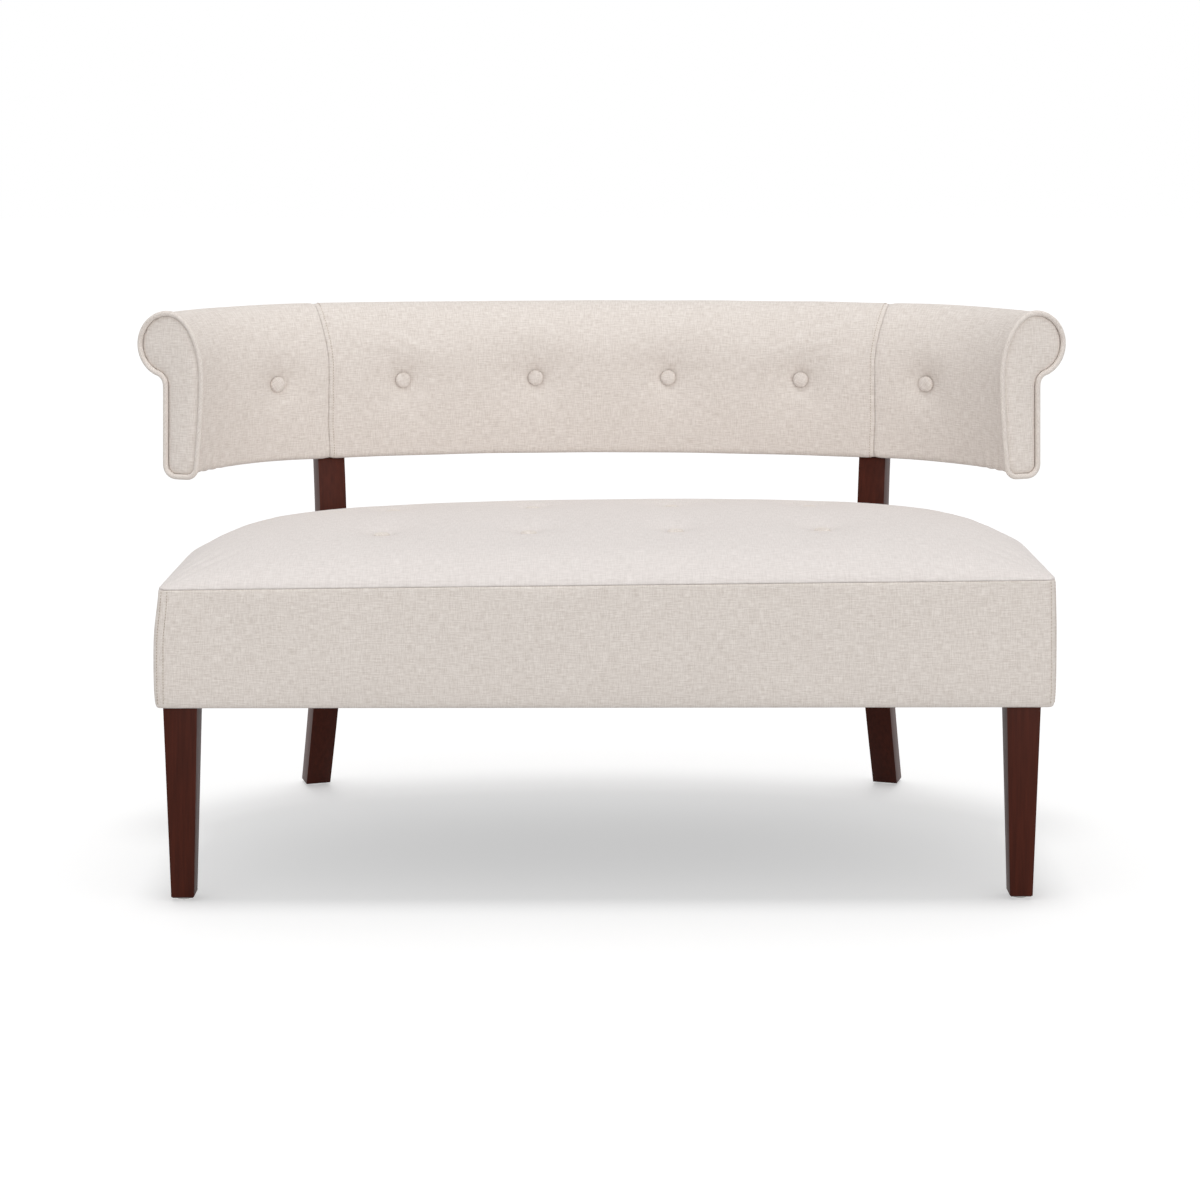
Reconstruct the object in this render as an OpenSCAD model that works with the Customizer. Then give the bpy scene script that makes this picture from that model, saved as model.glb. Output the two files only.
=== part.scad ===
// Settee with a D-shaped upholstered seat and a floating rolled back.
// The seat is a timber box frame with foam and a tufted cover. The back is a curved
// timber frame, foam and a rolled, tufted cover, held up by the two rear legs.
// Millimetres. X runs across, +Y to the rear and +Z up. The origin is on the floor
// under the middle of the whole object.

/* [Seat] */
// Width across the front
seat_width = 1176; // [1100:4:1260]
// Depth from the front to the middle of the rear edge
seat_depth = 545; // [520:1:600]
// Radius of the long rear curve
rear_radius = 1315; // [1250:5:1450]
// Radius of the curves that join the rear edge to the sides
corner_radius = 235; // [215:1:255]
// Height of the top seam above the floor
seam_height = 420; // [400:1:430]
// Height of the upholstered box below the top seam
box_height = 164; // [155:1:175]
// Rise of the middle above the top seam
seat_crown = 50; // [40:1:58]
// Thickness of the fabric and wadding on the box sides
seat_wrap = 8; // [6:0.5:10]

/* [Seat frame] */
// Thickness of the rails
rail_thickness = 18; // [15:0.5:20]
// Height of the rails
rail_height = 100; // [92:1:104]
// Thickness of the plywood deck
deck_thickness = 9; // [6:0.5:12]
// Distance of each stretcher from the middle
stretcher_offset = 200; // [150:5:260]
// Height of the stretchers
stretcher_height = 60; // [40:1:80]
// Length of the sides of the triangular corner blocks
corner_block_side = 90; // [75:1:110]
// Height of the corner blocks
corner_block_height = 45; // [35:1:60]
// Thickness of the blocks behind the rear legs
leg_block_thickness = 26; // [20:1:34]
// Width of the blocks behind the rear legs
leg_block_width = 70; // [50:1:90]
// Thickness of the dust cover
dust_cover_thickness = 0.8; // [0.5:0.1:1.5]
// Width of the cover's hem under the rails
hem_width = 12; // [9:0.5:14]
// Thickness of the hem
hem_thickness = 2; // [1.5:0.1:3]

/* [Buttons] */
// Distance between neighbouring buttons
button_pitch = 201; // [180:1:215]
// Distance of a side panel's button from the middle, along the back's face
wing_button = 493; // [488:1:510]
// Diameter of a covered button
button_diameter = 22; // [18:0.5:24]
// Height of a covered button
button_height = 7; // [5:0.5:9]
// Distance of the front row of seat buttons from the front
front_row = 165; // [140:1:190]
// Distance between the two rows of seat buttons
row_pitch = 210; // [190:1:225]
// Depth of a tuft in the seat
seat_tuft = 12; // [6:0.5:14]
// Depth of a tuft in the back
back_tuft = 12; // [8:0.5:13]
// Distance from a button at which its tuft fades out
tuft_reach = 48; // [36:1:56]
// Diameter of the twine that ties a button down
twine_diameter = 2.4; // [1.5:0.1:3]
// Diameter of the toggle at the end of the twine
toggle_diameter = 14; // [10:0.5:16]

/* [Back] */
// Height of the lower edge of the back above the floor
back_bottom = 516; // [505:1:530]
// Height of the top of the back above the floor
back_top = 746; // [732:1:765]
// Thickness of the straight part of the back
back_thickness = 54; // [54:0.5:64]
// Radius of the roll along the top
roll_radius = 45.5; // [45:0.5:52]
// Distance of the roll's middle from the inner face
roll_centre = 47; // [44:0.5:50]
// How far the back's face swells towards the sitter
back_crown = 8; // [5:0.5:10]
// Height of the fullest part of the face above the back's lower edge
crown_rise = 137; // [124:1:140]
// Clearance in plan between the seat's edge and the back's inner face
back_gap = 4; // [4:0.5:12]
// Length of the back from its middle to an arm end, along its inner face
arm_length = 654; // [625:1:665]
// Thickness of the fabric and wadding behind the buttons
back_wrap = 13; // [12.5:0.5:15]
// Thickness of the fabric on the roll and at the rear
cover_wall = 4; // [3:0.5:5]
// Rounding of the back's lower edges
edge_round = 9; // [6:0.5:12]

/* [Back frame] */
// Thickness of the foam over the skin
back_foam_thickness = 9.8; // [6:0.2:12]
// Thickness of the bent plywood skin
skin_thickness = 3.8; // [3:0.2:6]
// Thickness of the two shaped rails
back_rail_thickness = 18; // [15:0.5:20]
// Thickness of the uprights between the rails
upright_thickness = 18; // [15:0.5:25]
// Thickness of the board in each arm end
arm_board_thickness = 9; // [6:0.5:12]
// Thickness of the padded facing on an arm end
facing_wrap = 6.4; // [5:0.2:8]
// How far the arm end reaches below the back
facing_drop = 5.5; // [4:0.5:12]
// Radius of the welt round the arm end
welt_radius = 4; // [3:0.25:5]

/* [Legs] */
// Width of a front leg at its top
front_leg_top = 44.5; // [40:0.5:50]
// Width of a front leg at its foot
front_leg_foot = 30; // [26:0.5:36]
// How far a front leg's outer face leans in towards its foot
front_leg_lean = 9.5; // [5:0.5:12]
// Distance of a front leg from the side of the seat
front_leg_side = 13; // [10:0.5:20]
// Distance of a front leg from the front of the seat
front_leg_front = 12; // [10:0.5:20]
// Width of a rear leg
rear_leg_width = 40; // [36:0.5:46]
// Thickness of a rear leg
rear_leg_thickness = 40; // [37:0.5:44]
// Width of a rear leg at its foot
rear_leg_foot = 37; // [32:0.5:42]
// Angle in plan of a rear leg from the middle of the back
rear_leg_angle = 17.7; // [16:0.1:18]
// How far a rear leg's foot stands behind the seat
rear_leg_rake = 135; // [110:1:145]
// How far a rear leg leans back between the seat and the back
rear_leg_recline = 18.5; // [17:0.5:20]
// Thickness of the tongue that holds the back
tongue_thickness = 17; // [14:0.5:18]
// Diameter of the leg bolts
bolt_diameter = 8; // [6:0.5:9]
// Diameter of a nail glide
glide_diameter = 22; // [18:0.5:26]
// Height of a nail glide
glide_height = 4; // [3:0.25:6]

/* [Hidden] */
fit = 0.2;               // gap between pieces that touch
corner_steps = 6;        // flats in each corner curve
rear_steps = 10;         // flats in the rear curve
small_fn = 32;
leg_fit = 0.3;           // gap between a rear leg and the seat's side
leg_kink = 300;          // height at which a rear leg starts to sweep back
foot_chamfer = 2;
bolt_bite = 42;
insert_diameter = 12;
insert_length = 25;
nail_diameter = 3;
nail_length = 18;
bolt_head_diameter = 14;
bolt_head_recess = 7;
nut_height = 6.5;
washer_thickness = 1.6;
back_head_height = 4;
tee_flange = 20;
tee_thickness = 1.4;
toggle_height = 4;
packer_width = 60;
upright_pitch = button_pitch;
pad_edge = 3;            // thickness of the top pad at its rim
seam_inset = 5;          // how far the seat draws in at its seams
seam_dip = 1.5;          // how far a cover draws in at its seams
seam_fade = 14;          // distance over which it draws in
core_wadding = 3;        // wadding between the roll's core and its cover
core_offset = [1.5, -1]; // the core lies so far off the roll's middle
core_sink = 6;           // depth of the flat under the core
facing_inset = 5;
lean_from = seam_height - 30;

wood = "#3e201a";
frame_wood = "#c9a26b";
ply = "#d8b98a";
fabric = "#ded5ce";
foam_yellow = "#efe2a8";
steel = "#b9bcc0";
twine = "#b8a27a";
black_cloth = "#1d1d1f";

// Plan of the seat: straight sides, two corner curves and one long rear curve
half_width = seat_width / 2;
back_reach = back_gap + roll_centre + roll_radius;
front_y = -(seat_depth + back_reach) / 2;
turn_angle = asin((half_width - corner_radius) / (rear_radius - corner_radius));
corner_x = half_width - corner_radius;
rear_centre_y = front_y + seat_depth - rear_radius;
corner_y = rear_centre_y + (rear_radius - corner_radius) * cos(turn_angle);

// Heights, from the floor up
seat_bottom = seam_height - box_height;
rail_bottom = seat_bottom + hem_thickness + fit;
rail_top = rail_bottom + rail_height;
deck_bottom = rail_top + fit;
foam_bottom = deck_bottom + deck_thickness + fit;
pad_bottom = seam_height - pad_edge;
foam_top = pad_bottom - fit;
rail_outset = seat_wrap + fit;
rail_inset = rail_outset + rail_thickness;
leg_bolt_heights = [rail_bottom + 60, rail_bottom + 88];
back_bolt_heights = [back_bottom + 48, back_bottom + 100];
button_z = (back_top + back_bottom) / 2;

// Layers of the back, measured outwards from its inner face
foam_r = back_wrap + fit;
skin_r = foam_r + back_foam_thickness + fit;
frame_r = skin_r + skin_thickness + fit;
frame_end_r = back_thickness - cover_wall - fit;
frame_depth = frame_end_r - frame_r;
tongue_r = frame_end_r - tongue_thickness;
packer_depth = tongue_r - fit - frame_r;

// The section of the back: a straight part under a roll
roll = [roll_centre, back_top - roll_radius];
core_radius = roll_radius - cover_wall - core_wadding;
core = roll + core_offset;
roll_seat_z = core[1] - core_radius + core_sink;
crown_z = back_bottom + crown_rise;
lower_rail_z = back_bottom + cover_wall + fit;
upper_rail_z = roll_seat_z - fit - back_rail_thickness;
upright_z = lower_rail_z + back_rail_thickness + fit;
upright_height = upper_rail_z - fit - upright_z;
outer_neck = -acos((back_thickness - roll_centre) / roll_radius);
neck_z = roll[1] + roll_radius * sin(outer_neck);

// The back's length: the rear arc, then a corner arc on each side
turn_length = (rear_radius + back_gap) * turn_angle * PI / 180;
arm_angle = turn_angle + (arm_length - turn_length) / (corner_radius + back_gap) * 180 / PI;
core_length = arm_length - arm_board_thickness - 2 * fit;
butt_angle = fit / (rear_radius + back_gap) * 180 / PI;
core_angle = turn_angle + (core_length - turn_length) / (corner_radius + back_gap) * 180 / PI;

function side_of(a) = a < 0 ? -1 : 1;
function ease(t) = let (c = max(0, min(1, t))) c * c * (3 - 2 * c);
function flatten(rows) = [for (row = rows) each row];
function backwards(list) = [for (k = [len(list) - 1:-1:0]) list[k]];

// A point on the plan curve at angle a from the middle, and so far outside it
function plan_point(a, out) =
    abs(a) <= turn_angle
        ? [(rear_radius + out) * sin(a), rear_centre_y + (rear_radius + out) * cos(a)]
        : [side_of(a) * corner_x + (corner_radius + out) * sin(a),
           corner_y + (corner_radius + out) * cos(a)];

right_corner_angles = [for (k = [0:corner_steps]) turn_angle + k * (90 - turn_angle) / corner_steps];
rear_angles = [for (k = [1:rear_steps - 1]) turn_angle * (2 * k / rear_steps - 1)];
plan_angles = concat([for (a = backwards(right_corner_angles)) -a], rear_angles, right_corner_angles);

function seat_outline(inset) = concat(
    [[-(half_width - inset), front_y + inset]],
    [for (a = plan_angles) plan_point(a, -inset)],
    [[half_width - inset, front_y + inset]]);

// Depth of the seat's rear edge at a place across its width
function rear_edge(x) =
    let (u = abs(x), turn_x = rear_radius * sin(turn_angle))
    u <= turn_x
        ? rear_centre_y + sqrt(rear_radius * rear_radius - u * u)
        : corner_y + sqrt(max(0, corner_radius * corner_radius - (u - corner_x) * (u - corner_x)));

// Seat buttons: two rows of four
button_x = [for (k = [-1.5:1:1.5]) k * button_pitch];
button_y = [front_y + front_row, front_y + front_row + row_pitch];
seat_button_places = [for (y = button_y, x = button_x) [x, y]];

// Crown of the seat: 1 over the middle and 0 round the edge
function crown(x, y) =
    let (u = abs(x) / half_width,
         v = abs(2 * (y - front_y) / (rear_edge(x) - front_y) - 1))
    pow(max(0, 1 - pow(u, 5)) * max(0, 1 - pow(v, 3)), 0.62);

function seat_top(x, y) = seam_height + seat_crown * crown(x, y);

// A tuft is flat under its button and fades out round it
function tuft(d) = 1 - ease((d - tuft_flat) / (tuft_reach - tuft_flat));

function tufted_seat_top(x, y) =
    let (near = [for (b = seat_button_places) if (norm([x, y] - b) < tuft_reach + 4) b])
    len(near) == 0
        ? seat_top(x, y)
        : let (b = near[0], w = tuft(norm([x, y] - b)))
          (1 - w) * seat_top(x, y) + w * (seat_top(b[0], b[1]) - seat_tuft);

// Grid lines that crowd together at the buttons
button_ring = button_diameter / 2 + 1.5;
tuft_flat = 1.45 * button_ring;
function lines_at(c) = [c - tuft_reach, c - button_ring, c + button_ring, c + tuft_reach];
right_lines = concat(
    lines_at(button_pitch / 2), [button_pitch], lines_at(1.5 * button_pitch),
    [(1.5 * button_pitch + tuft_reach + rear_radius * sin(turn_angle)) / 2],
    [for (a = right_corner_angles) plan_point(a, 0)[0]]);
across_lines = concat([for (x = backwards(right_lines)) -x], [0], right_lines);
depth_lines = concat(
    [0, 8, 30, 70], lines_at(front_row), [front_row + row_pitch / 2],
    lines_at(front_row + row_pitch), [seat_depth - 68, seat_depth - 26, seat_depth - 7, seat_depth]);

// A depth line keeps its place near the middle and follows the outline at the sides
function grid_y(x, line) =
    let (share = line / seat_depth,
         span = rear_edge(x) - front_y,
         straight = min(line, span * share + (line - seat_depth * share)),
         w = ease((abs(x) - 1.5 * button_pitch - tuft_reach) / (half_width - 1.5 * button_pitch - tuft_reach)),
         rear_part = ease((line - front_row - row_pitch - tuft_reach)
                          / (seat_depth - front_row - row_pitch - tuft_reach)),
         kept = straight * (1 - rear_part) + span * share * rear_part)
    front_y + kept * (1 - w) + span * share * w;

// Triangles between rows of points. Each row is a closed loop of n points
function loop_faces(rows, n) = [
    for (k = [0:rows - 2], j = [0:n - 1])
        let (a = k * n + j, b = k * n + (j + 1) % n)
        each [[a, b, a + n], [b, b + n, a + n]]
];

// Triangles over an open grid of rows by n points
function grid_faces(rows, n) = [
    for (k = [0:rows - 2], j = [0:n - 2])
        let (a = k * n + j)
        each [[a, a + 1, a + n], [a + 1, a + n + 1, a + n]]
];

// The top of the seat: crowned, tufted and flat underneath
module seat_pad() {
    nx = len(across_lines);
    ny = len(depth_lines);
    top = [for (x = across_lines, line = depth_lines)
        let (y = grid_y(x, line), p = drawn_in(x, y, seam_inset)) [p[0], p[1], tufted_seat_top(x, y)]];
    rim = concat(
        [for (i = [0:nx - 1]) i * ny],
        [for (j = [1:ny - 1]) (nx - 1) * ny + j],
        [for (i = [nx - 2:-1:0]) i * ny + ny - 1],
        [for (j = [ny - 2:-1:1]) j]);
    count = len(rim);
    base = len(top);
    underside = [for (p = top) [p[0], p[1], pad_bottom]];
    edge_faces = [for (j = [0:count - 1])
        let (a = rim[j], b = rim[(j + 1) % count])
        each [[a, b, a + base], [b, b + base, a + base]]];
    polyhedron(
        points = concat(top, underside),
        faces = concat(grid_faces(nx, ny), edge_faces,
                       [for (f = grid_faces(nx, ny)) [base + f[0], base + f[2], base + f[1]]]));
}

// A point of the plan drawn in towards the middle by an inset
function drawn_in(x, y, inset) =
    [x * (half_width - inset) / half_width, y + inset * (1 - 2 * (y - front_y) / (rear_edge(x) - front_y))];

// The band round the seat: swelling sides above a hem that turns under the rails
module seat_band() {
    middle = (foam_top + seat_bottom) / 2;
    section = [[seam_inset, foam_top], [seam_inset - 1.6, foam_top - 5], [1, foam_top - 20], [0, middle],
        [1.5, seat_bottom + 12], [seam_inset, seat_bottom], [seat_wrap + hem_width, seat_bottom],
        [seat_wrap + hem_width, rail_bottom - fit], [seat_wrap, rail_bottom - fit], [seat_wrap, foam_top]];
    loops = [for (q = section) [for (p = seat_outline(q[0])) [p[0], p[1], q[1]]]];
    count = len(loops[0]);
    n = len(section);
    polyhedron(
        points = flatten(loops),
        faces = [for (k = [0:n - 1], j = [0:count - 1])
            let (a = k * count + j, b = k * count + (j + 1) % count,
                 c = ((k + 1) % n) * count + j, d = ((k + 1) % n) * count + (j + 1) % count)
            each [[a, c, b], [b, c, d]]]);
}

// Places children on the right side, or mirrored on the left
module on_side(side) {
    if (side < 0) mirror([1, 0, 0]) children();
    else children();
}

// The seat's outline drawn in by inset, extruded between two heights
module seat_slab(inset, from, to) {
    translate([0, 0, from]) linear_extrude(to - from) polygon(seat_outline(inset));
}

// Places children at each seat button, on the floor
module at_seat_buttons() {
    for (p = seat_button_places) translate([p[0], p[1], 0]) children();
}

// Carries a section, drawn outwards and upwards, round the back up to an angle on each side,
// in three lengths that butt together where the curves meet
module along_back(end_angle = arm_angle) {
    translate([0, rear_centre_y]) rotate(90 - turn_angle + butt_angle)
        rotate_extrude(angle = 2 * (turn_angle - butt_angle), $fa = 1)
        translate([rear_radius + back_gap, 0]) children();
    for (side = [-1, 1]) on_side(side)
        translate([corner_x, corner_y]) rotate(90 - end_angle)
        rotate_extrude(angle = end_angle - turn_angle, $fa = 2)
        translate([corner_radius + back_gap, 0]) children();
}

// Puts a shape drawn at the inner face at a distance along the back. Its +Y points outwards
module at_back(distance) {
    a = back_angle(distance);
    p = plan_point(a, back_gap);
    translate([p[0], p[1], 0]) rotate(-a) children();
}

// Puts a shape drawn at the seat's edge behind the right rear leg
module at_post() {
    p = plan_point(rear_leg_angle, 0);
    translate([p[0], p[1], 0]) rotate(-rear_leg_angle) children();
}

// Puts a section plate at the right arm end, growing forwards from the end of the back
module at_arm(lift = 0) {
    p = plan_point(arm_angle, back_gap);
    translate([p[0], p[1], 0]) rotate(90 - arm_angle) rotate([90, 0, 0])
        translate([0, 0, lift]) children();
}

// Angle in plan at a distance along the back
function back_angle(distance) = side_of(distance) * (abs(distance) <= turn_length
    ? abs(distance) / (rear_radius + back_gap) * 180 / PI
    : turn_angle + (abs(distance) - turn_length) / (corner_radius + back_gap) * 180 / PI);

// Points on an arc
function arc(centre, radius, from, to, steps) = [for (k = [0:steps])
    let (a = from + (to - from) * k / steps) centre + radius * [cos(a), sin(a)]];

// The roll in section, drawn in by inset. It is round behind and over the top, and its
// front is a quarter of a tall ellipse that runs down to the fullest part of the face
function roll_point(a, inset) =
    a <= 90
        ? roll + (roll_radius - inset) * [cos(a), sin(a)]
        : [roll_centre + (roll_centre + back_crown - inset) * cos(a),
           crown_z + (back_top - inset - crown_z) * sin(a)];

function roll_line(from, inset, steps) = [for (k = [0:steps])
    roll_point(from + (outer_neck - from) * k / steps, inset)];

// Depth of the face below its fullest part
function face_line(z) =
    -back_crown * sin(90 * max(0, z - back_bottom - edge_round) / (crown_rise - edge_round));

// Outline of an arm end, drawn in by inset: rounded foot, swelling face and the roll
function scroll_outline(inset) =
    let (foot = back_bottom - facing_drop + inset + edge_round,
         low = -acos((back_thickness - inset - roll_centre) / (roll_radius - inset)))
    concat(
        arc([inset + edge_round, foot], edge_round, 180, 270, 3),
        arc([back_thickness - inset - edge_round, foot], edge_round, 270, 360, 3),
        arc(roll, roll_radius - inset, low, 78, 11),
        [for (k = [0:7]) roll_point(90 + 11.25 * k, inset)],
        [for (k = [0:3]) let (z = crown_z - k * crown_rise / 4) [face_line(z) + inset, z]]);

// Four back buttons lie a pitch apart and one lies in each side panel
button_seat = face_line(button_z) + back_tuft;
back_button_places = concat([-wing_button], button_x, [wing_button]);

// Outer contour of the back's cover in section, from its hem up the face and over the roll
roll_start = 168;
roll_flats = 12;
face_levels = [(back_bottom + button_z) / 2 - 4, button_z - tuft_reach, button_z - button_ring,
    button_z, button_z + button_ring];

function outer_contour(dip, button_gap) = concat(
    [[tongue_r - 2 * fit, back_bottom], [edge_round, back_bottom],
     [edge_round * 0.3 + dip, back_bottom + edge_round * 0.3], [dip, back_bottom + edge_round]],
    [for (z = face_levels) [dip + tufted_face(z, button_gap), z]],
    roll_line(roll_start, dip, roll_flats));

// The face with its tufts: flat under each button
function tufted_face(z, button_gap) =
    let (w = tuft(norm([button_gap, z - button_z])))
    (1 - w) * face_line(z) + w * button_seat;

// Inner contour with as many points, clear of the foam and the roll's core
function inner_contour() =
    let (floor_z = back_bottom + cover_wall, start = 205, turn = (start - outer_neck) / roll_flats)
    concat(
        [[tongue_r - 2 * fit, floor_z], [back_wrap + 6, floor_z],
         [back_wrap, floor_z], [back_wrap, floor_z + 8]],
        [for (z = face_levels) [back_wrap, z]],
        [[back_wrap, roll_seat_z + 2]],
        arc(core, (core_radius + fit) / cos(turn / 2), start - turn, outer_neck, roll_flats - 1));

// Distances along the back for one button
function lines_near(c) = [c - tuft_reach, c - button_ring, c, c + button_ring, c + tuft_reach];

// A length of the back's cover between two distances, drawn in at both ends
module back_cover(lines) {
    first = lines[0];
    last = lines[len(lines) - 1];
    m = len(outer_contour(0, 0));
    points = flatten([for (distance = lines)
        let (a = back_angle(distance),
             dip = seam_dip * (1 - ease(min(distance - first, last - distance) / seam_fade)),
             gap = min([for (b = back_button_places) abs(distance - b)]))
        [for (q = concat(outer_contour(dip, gap), backwards(inner_contour())))
            let (p = plan_point(a, back_gap + q[0])) [p[0], p[1], q[1]]]]);
    end = (len(lines) - 1) * 2 * m;
    caps = [for (k = [0:m - 2])
        let (a = k, b = 2 * m - 1 - k)
        each [[a, b, a + 1], [a + 1, b, b - 1],
              [end + a, end + a + 1, end + b], [end + a + 1, end + b - 1, end + b]]];
    polyhedron(points = points, faces = concat(loop_faces(len(lines), 2 * m), caps));
}

// Side of a rear leg that faces the seat, as a distance behind the seat's edge
function leg_inner(z) =
    z < leg_kink ? leg_fit + (rear_leg_rake - rear_leg_foot / 2) * pow((leg_kink - z) / leg_kink, 1.2)
    : z < lean_from ? leg_fit
    : leg_fit + rear_leg_recline * pow((z - lean_from) / (back_bottom - lean_from), 1.5);

function leg_depth(z) =
    rear_leg_foot + (rear_leg_thickness - rear_leg_foot) * min(1, z / leg_kink);

module front_leg() {
    top = seat_bottom - fit;
    x_out = half_width - front_leg_side;
    y_out = front_y + front_leg_front;
    lean_y = (front_leg_top - front_leg_foot) / 2;
    difference() {
        intersection() {
            translate([0, 400]) rotate([90, 0, 0]) linear_extrude(800) polygon([
                [x_out, top], [x_out - front_leg_lean, glide_height + foot_chamfer],
                [x_out - front_leg_lean - foot_chamfer, glide_height],
                [x_out - front_leg_lean - front_leg_foot + foot_chamfer, glide_height],
                [x_out - front_leg_lean - front_leg_foot, glide_height + foot_chamfer],
                [x_out - front_leg_top, top]]);
            rotate([90, 0, 90]) linear_extrude(800) polygon([
                [y_out, top], [y_out + lean_y, glide_height + foot_chamfer],
                [y_out + lean_y + foot_chamfer, glide_height],
                [y_out + lean_y + front_leg_foot - foot_chamfer, glide_height],
                [y_out + lean_y + front_leg_foot, glide_height + foot_chamfer],
                [y_out + front_leg_top, top]]);
        }
        at_front_bolt() translate([0, 0, top - bolt_bite])
            cylinder(d = bolt_diameter + 2 * fit, h = bolt_bite + 1, $fn = small_fn);
        at_front_foot() cylinder(d = nail_diameter + 2 * fit, h = nail_length + 1, $fn = small_fn);
    }
}

module at_front_bolt() {
    translate([half_width - front_leg_side - front_leg_top / 2,
               front_y + front_leg_front + front_leg_top / 2, 0]) children();
}

module at_front_foot() {
    translate([half_width - front_leg_side - front_leg_lean - front_leg_foot / 2,
               front_y + front_leg_front + front_leg_top / 2, 0]) children();
}

module at_rear_foot() {
    at_post() translate([0, rear_leg_rake, 0]) children();
}

// Axis of a bolt through a rear leg, pointing outwards from the seat's edge
module at_leg_bolts() {
    for (z = leg_bolt_heights) at_post() translate([0, 0, z]) rotate([-90, 0, 0]) children();
}

// Axis of a bolt through the tongue, pointing outwards from the back's inner face
module at_back_bolts() {
    for (z = back_bolt_heights) at_post() translate([0, back_gap, z]) rotate([-90, 0, 0]) children();
}

module rear_leg() {
    shoulder = back_bottom - fit;
    steps = 18;
    heights = concat([for (k = [0:steps]) glide_height + (leg_kink - glide_height) * k / steps],
        [for (k = [0:8]) lean_from + (shoulder - lean_from) * k / 8]);
    tongue_top = upper_rail_z - fit;
    tongue = back_gap + tongue_r;
    profile = concat(
        [for (z = heights) [leg_inner(z), z]],
        [[tongue, shoulder], [tongue, tongue_top], [tongue + tongue_thickness, tongue_top],
         [tongue + tongue_thickness, shoulder]],
        [for (z = backwards(heights)) [leg_inner(z) + leg_depth(z), z]]);
    wide = rear_leg_width / 2;
    narrow = rear_leg_foot / 2;
    difference() {
        at_post() intersection() {
            rotate([90, 0, 90]) linear_extrude(100, center = true) polygon(profile);
            translate([0, 400, 0]) rotate([90, 0, 0]) linear_extrude(800) polygon([
                [-narrow, 0], [narrow, 0], [wide, leg_kink], [wide, back_top],
                [-wide, back_top], [-wide, leg_kink]]);
        }
        at_leg_bolts() {
            translate([0, 0, -1])
                cylinder(d = bolt_diameter + 2 * fit, h = rear_leg_thickness + 2, $fn = small_fn);
            translate([0, 0, leg_fit + rear_leg_thickness - bolt_head_recess])
                cylinder(d = bolt_head_diameter + 1, h = 2 * bolt_head_recess, $fn = small_fn);
        }
        at_back_bolts() {
            cylinder(d = bolt_diameter + 2 * fit, h = back_thickness, $fn = small_fn);
            translate([0, 0, frame_end_r - back_head_height - fit])
                cylinder(d = bolt_head_diameter + 1, h = 2 * back_head_height, $fn = small_fn);
        }
        at_rear_foot() cylinder(d = nail_diameter + 2 * fit, h = nail_length + 1, $fn = small_fn);
    }
}

// A domed glide with its nail
module glide() {
    r = glide_diameter / 2;
    rotate_extrude($fn = 48) polygon([[0, 0], [r * 0.55, 0], [r * 0.85, glide_height * 0.3],
        [r, glide_height * 0.75], [r, glide_height - fit], [nail_diameter / 2, glide_height - fit],
        [nail_diameter / 2, nail_length - 3], [0, nail_length]]);
}

// A bolt with a flat round head, its shank running down from the head's underside
module bolt(length, head_height) {
    cylinder(d = bolt_head_diameter, h = head_height, $fn = small_fn);
    translate([0, 0, -length]) cylinder(d = bolt_diameter, h = length, $fn = small_fn);
}

module front_leg_left() { color(wood) on_side(-1) front_leg(); }
module front_leg_right() { color(wood) front_leg(); }
module rear_leg_left() { color(wood) on_side(-1) rear_leg(); }
module rear_leg_right() { color(wood) rear_leg(); }

module foot_glides() {
    color(steel) for (side = [-1, 1]) on_side(side) {
        at_front_foot() glide();
        at_rear_foot() glide();
    }
}

module front_leg_bolts() {
    color(steel) for (side = [-1, 1]) on_side(side) at_front_bolt()
        translate([0, 0, seat_bottom - bolt_bite + 2])
        cylinder(d = bolt_diameter, h = bolt_bite + insert_length, $fn = small_fn);
}

module front_leg_inserts() {
    color(steel) for (side = [-1, 1]) on_side(side) at_front_bolt() translate([0, 0, rail_bottom])
        difference() {
            cylinder(d = insert_diameter, h = insert_length, $fn = small_fn);
            translate([0, 0, -1])
                cylinder(d = bolt_diameter + 2 * fit, h = insert_length + 2, $fn = small_fn);
        }
}

module rear_leg_bolts() {
    head_at = leg_fit + rear_leg_thickness - bolt_head_recess + fit;
    color(steel) for (side = [-1, 1]) on_side(side) at_leg_bolts() translate([0, 0, head_at])
        bolt(head_at + rail_inset + fit + leg_block_thickness + nut_height + 5, bolt_head_recess - 1);
}

module rear_leg_nuts() {
    seat = -(rail_inset + fit + leg_block_thickness + fit);
    color(steel) for (side = [-1, 1]) on_side(side) at_leg_bolts() translate([0, 0, seat]) {
        translate([0, 0, -washer_thickness]) difference() {
            cylinder(d = bolt_diameter * 2.4, h = washer_thickness, $fn = small_fn);
            translate([0, 0, -1]) cylinder(d = bolt_diameter + 2 * fit, h = 5, $fn = small_fn);
        }
        translate([0, 0, -washer_thickness - fit - nut_height]) difference() {
            cylinder(d = bolt_diameter * 1.8, h = nut_height, $fn = 6);
            translate([0, 0, -1]) cylinder(d = bolt_diameter + 2 * fit, h = nut_height + 2, $fn = small_fn);
        }
    }
}

module seat_front_rail() {
    color(frame_wood) translate([-(half_width - rail_outset), front_y + rail_outset, rail_bottom])
        cube([2 * (half_width - rail_outset), rail_thickness, rail_height]);
}

// The rail bent round the rear and both corners
module seat_rear_rail() {
    color(frame_wood) difference() {
        seat_slab(rail_outset, rail_bottom, rail_top);
        seat_slab(rail_inset, rail_bottom - 1, rail_top + 1);
        translate([-seat_width, front_y - 1, 0]) cube([2 * seat_width, corner_y - front_y + 1, seam_height]);
        at_all_leg_bolts(bolt_diameter + 2 * fit);
    }
}

module at_all_leg_bolts(diameter) {
    for (side = [-1, 1]) on_side(side) at_leg_bolts()
        translate([0, 0, -90]) cylinder(d = diameter, h = 100, $fn = small_fn);
}

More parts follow.
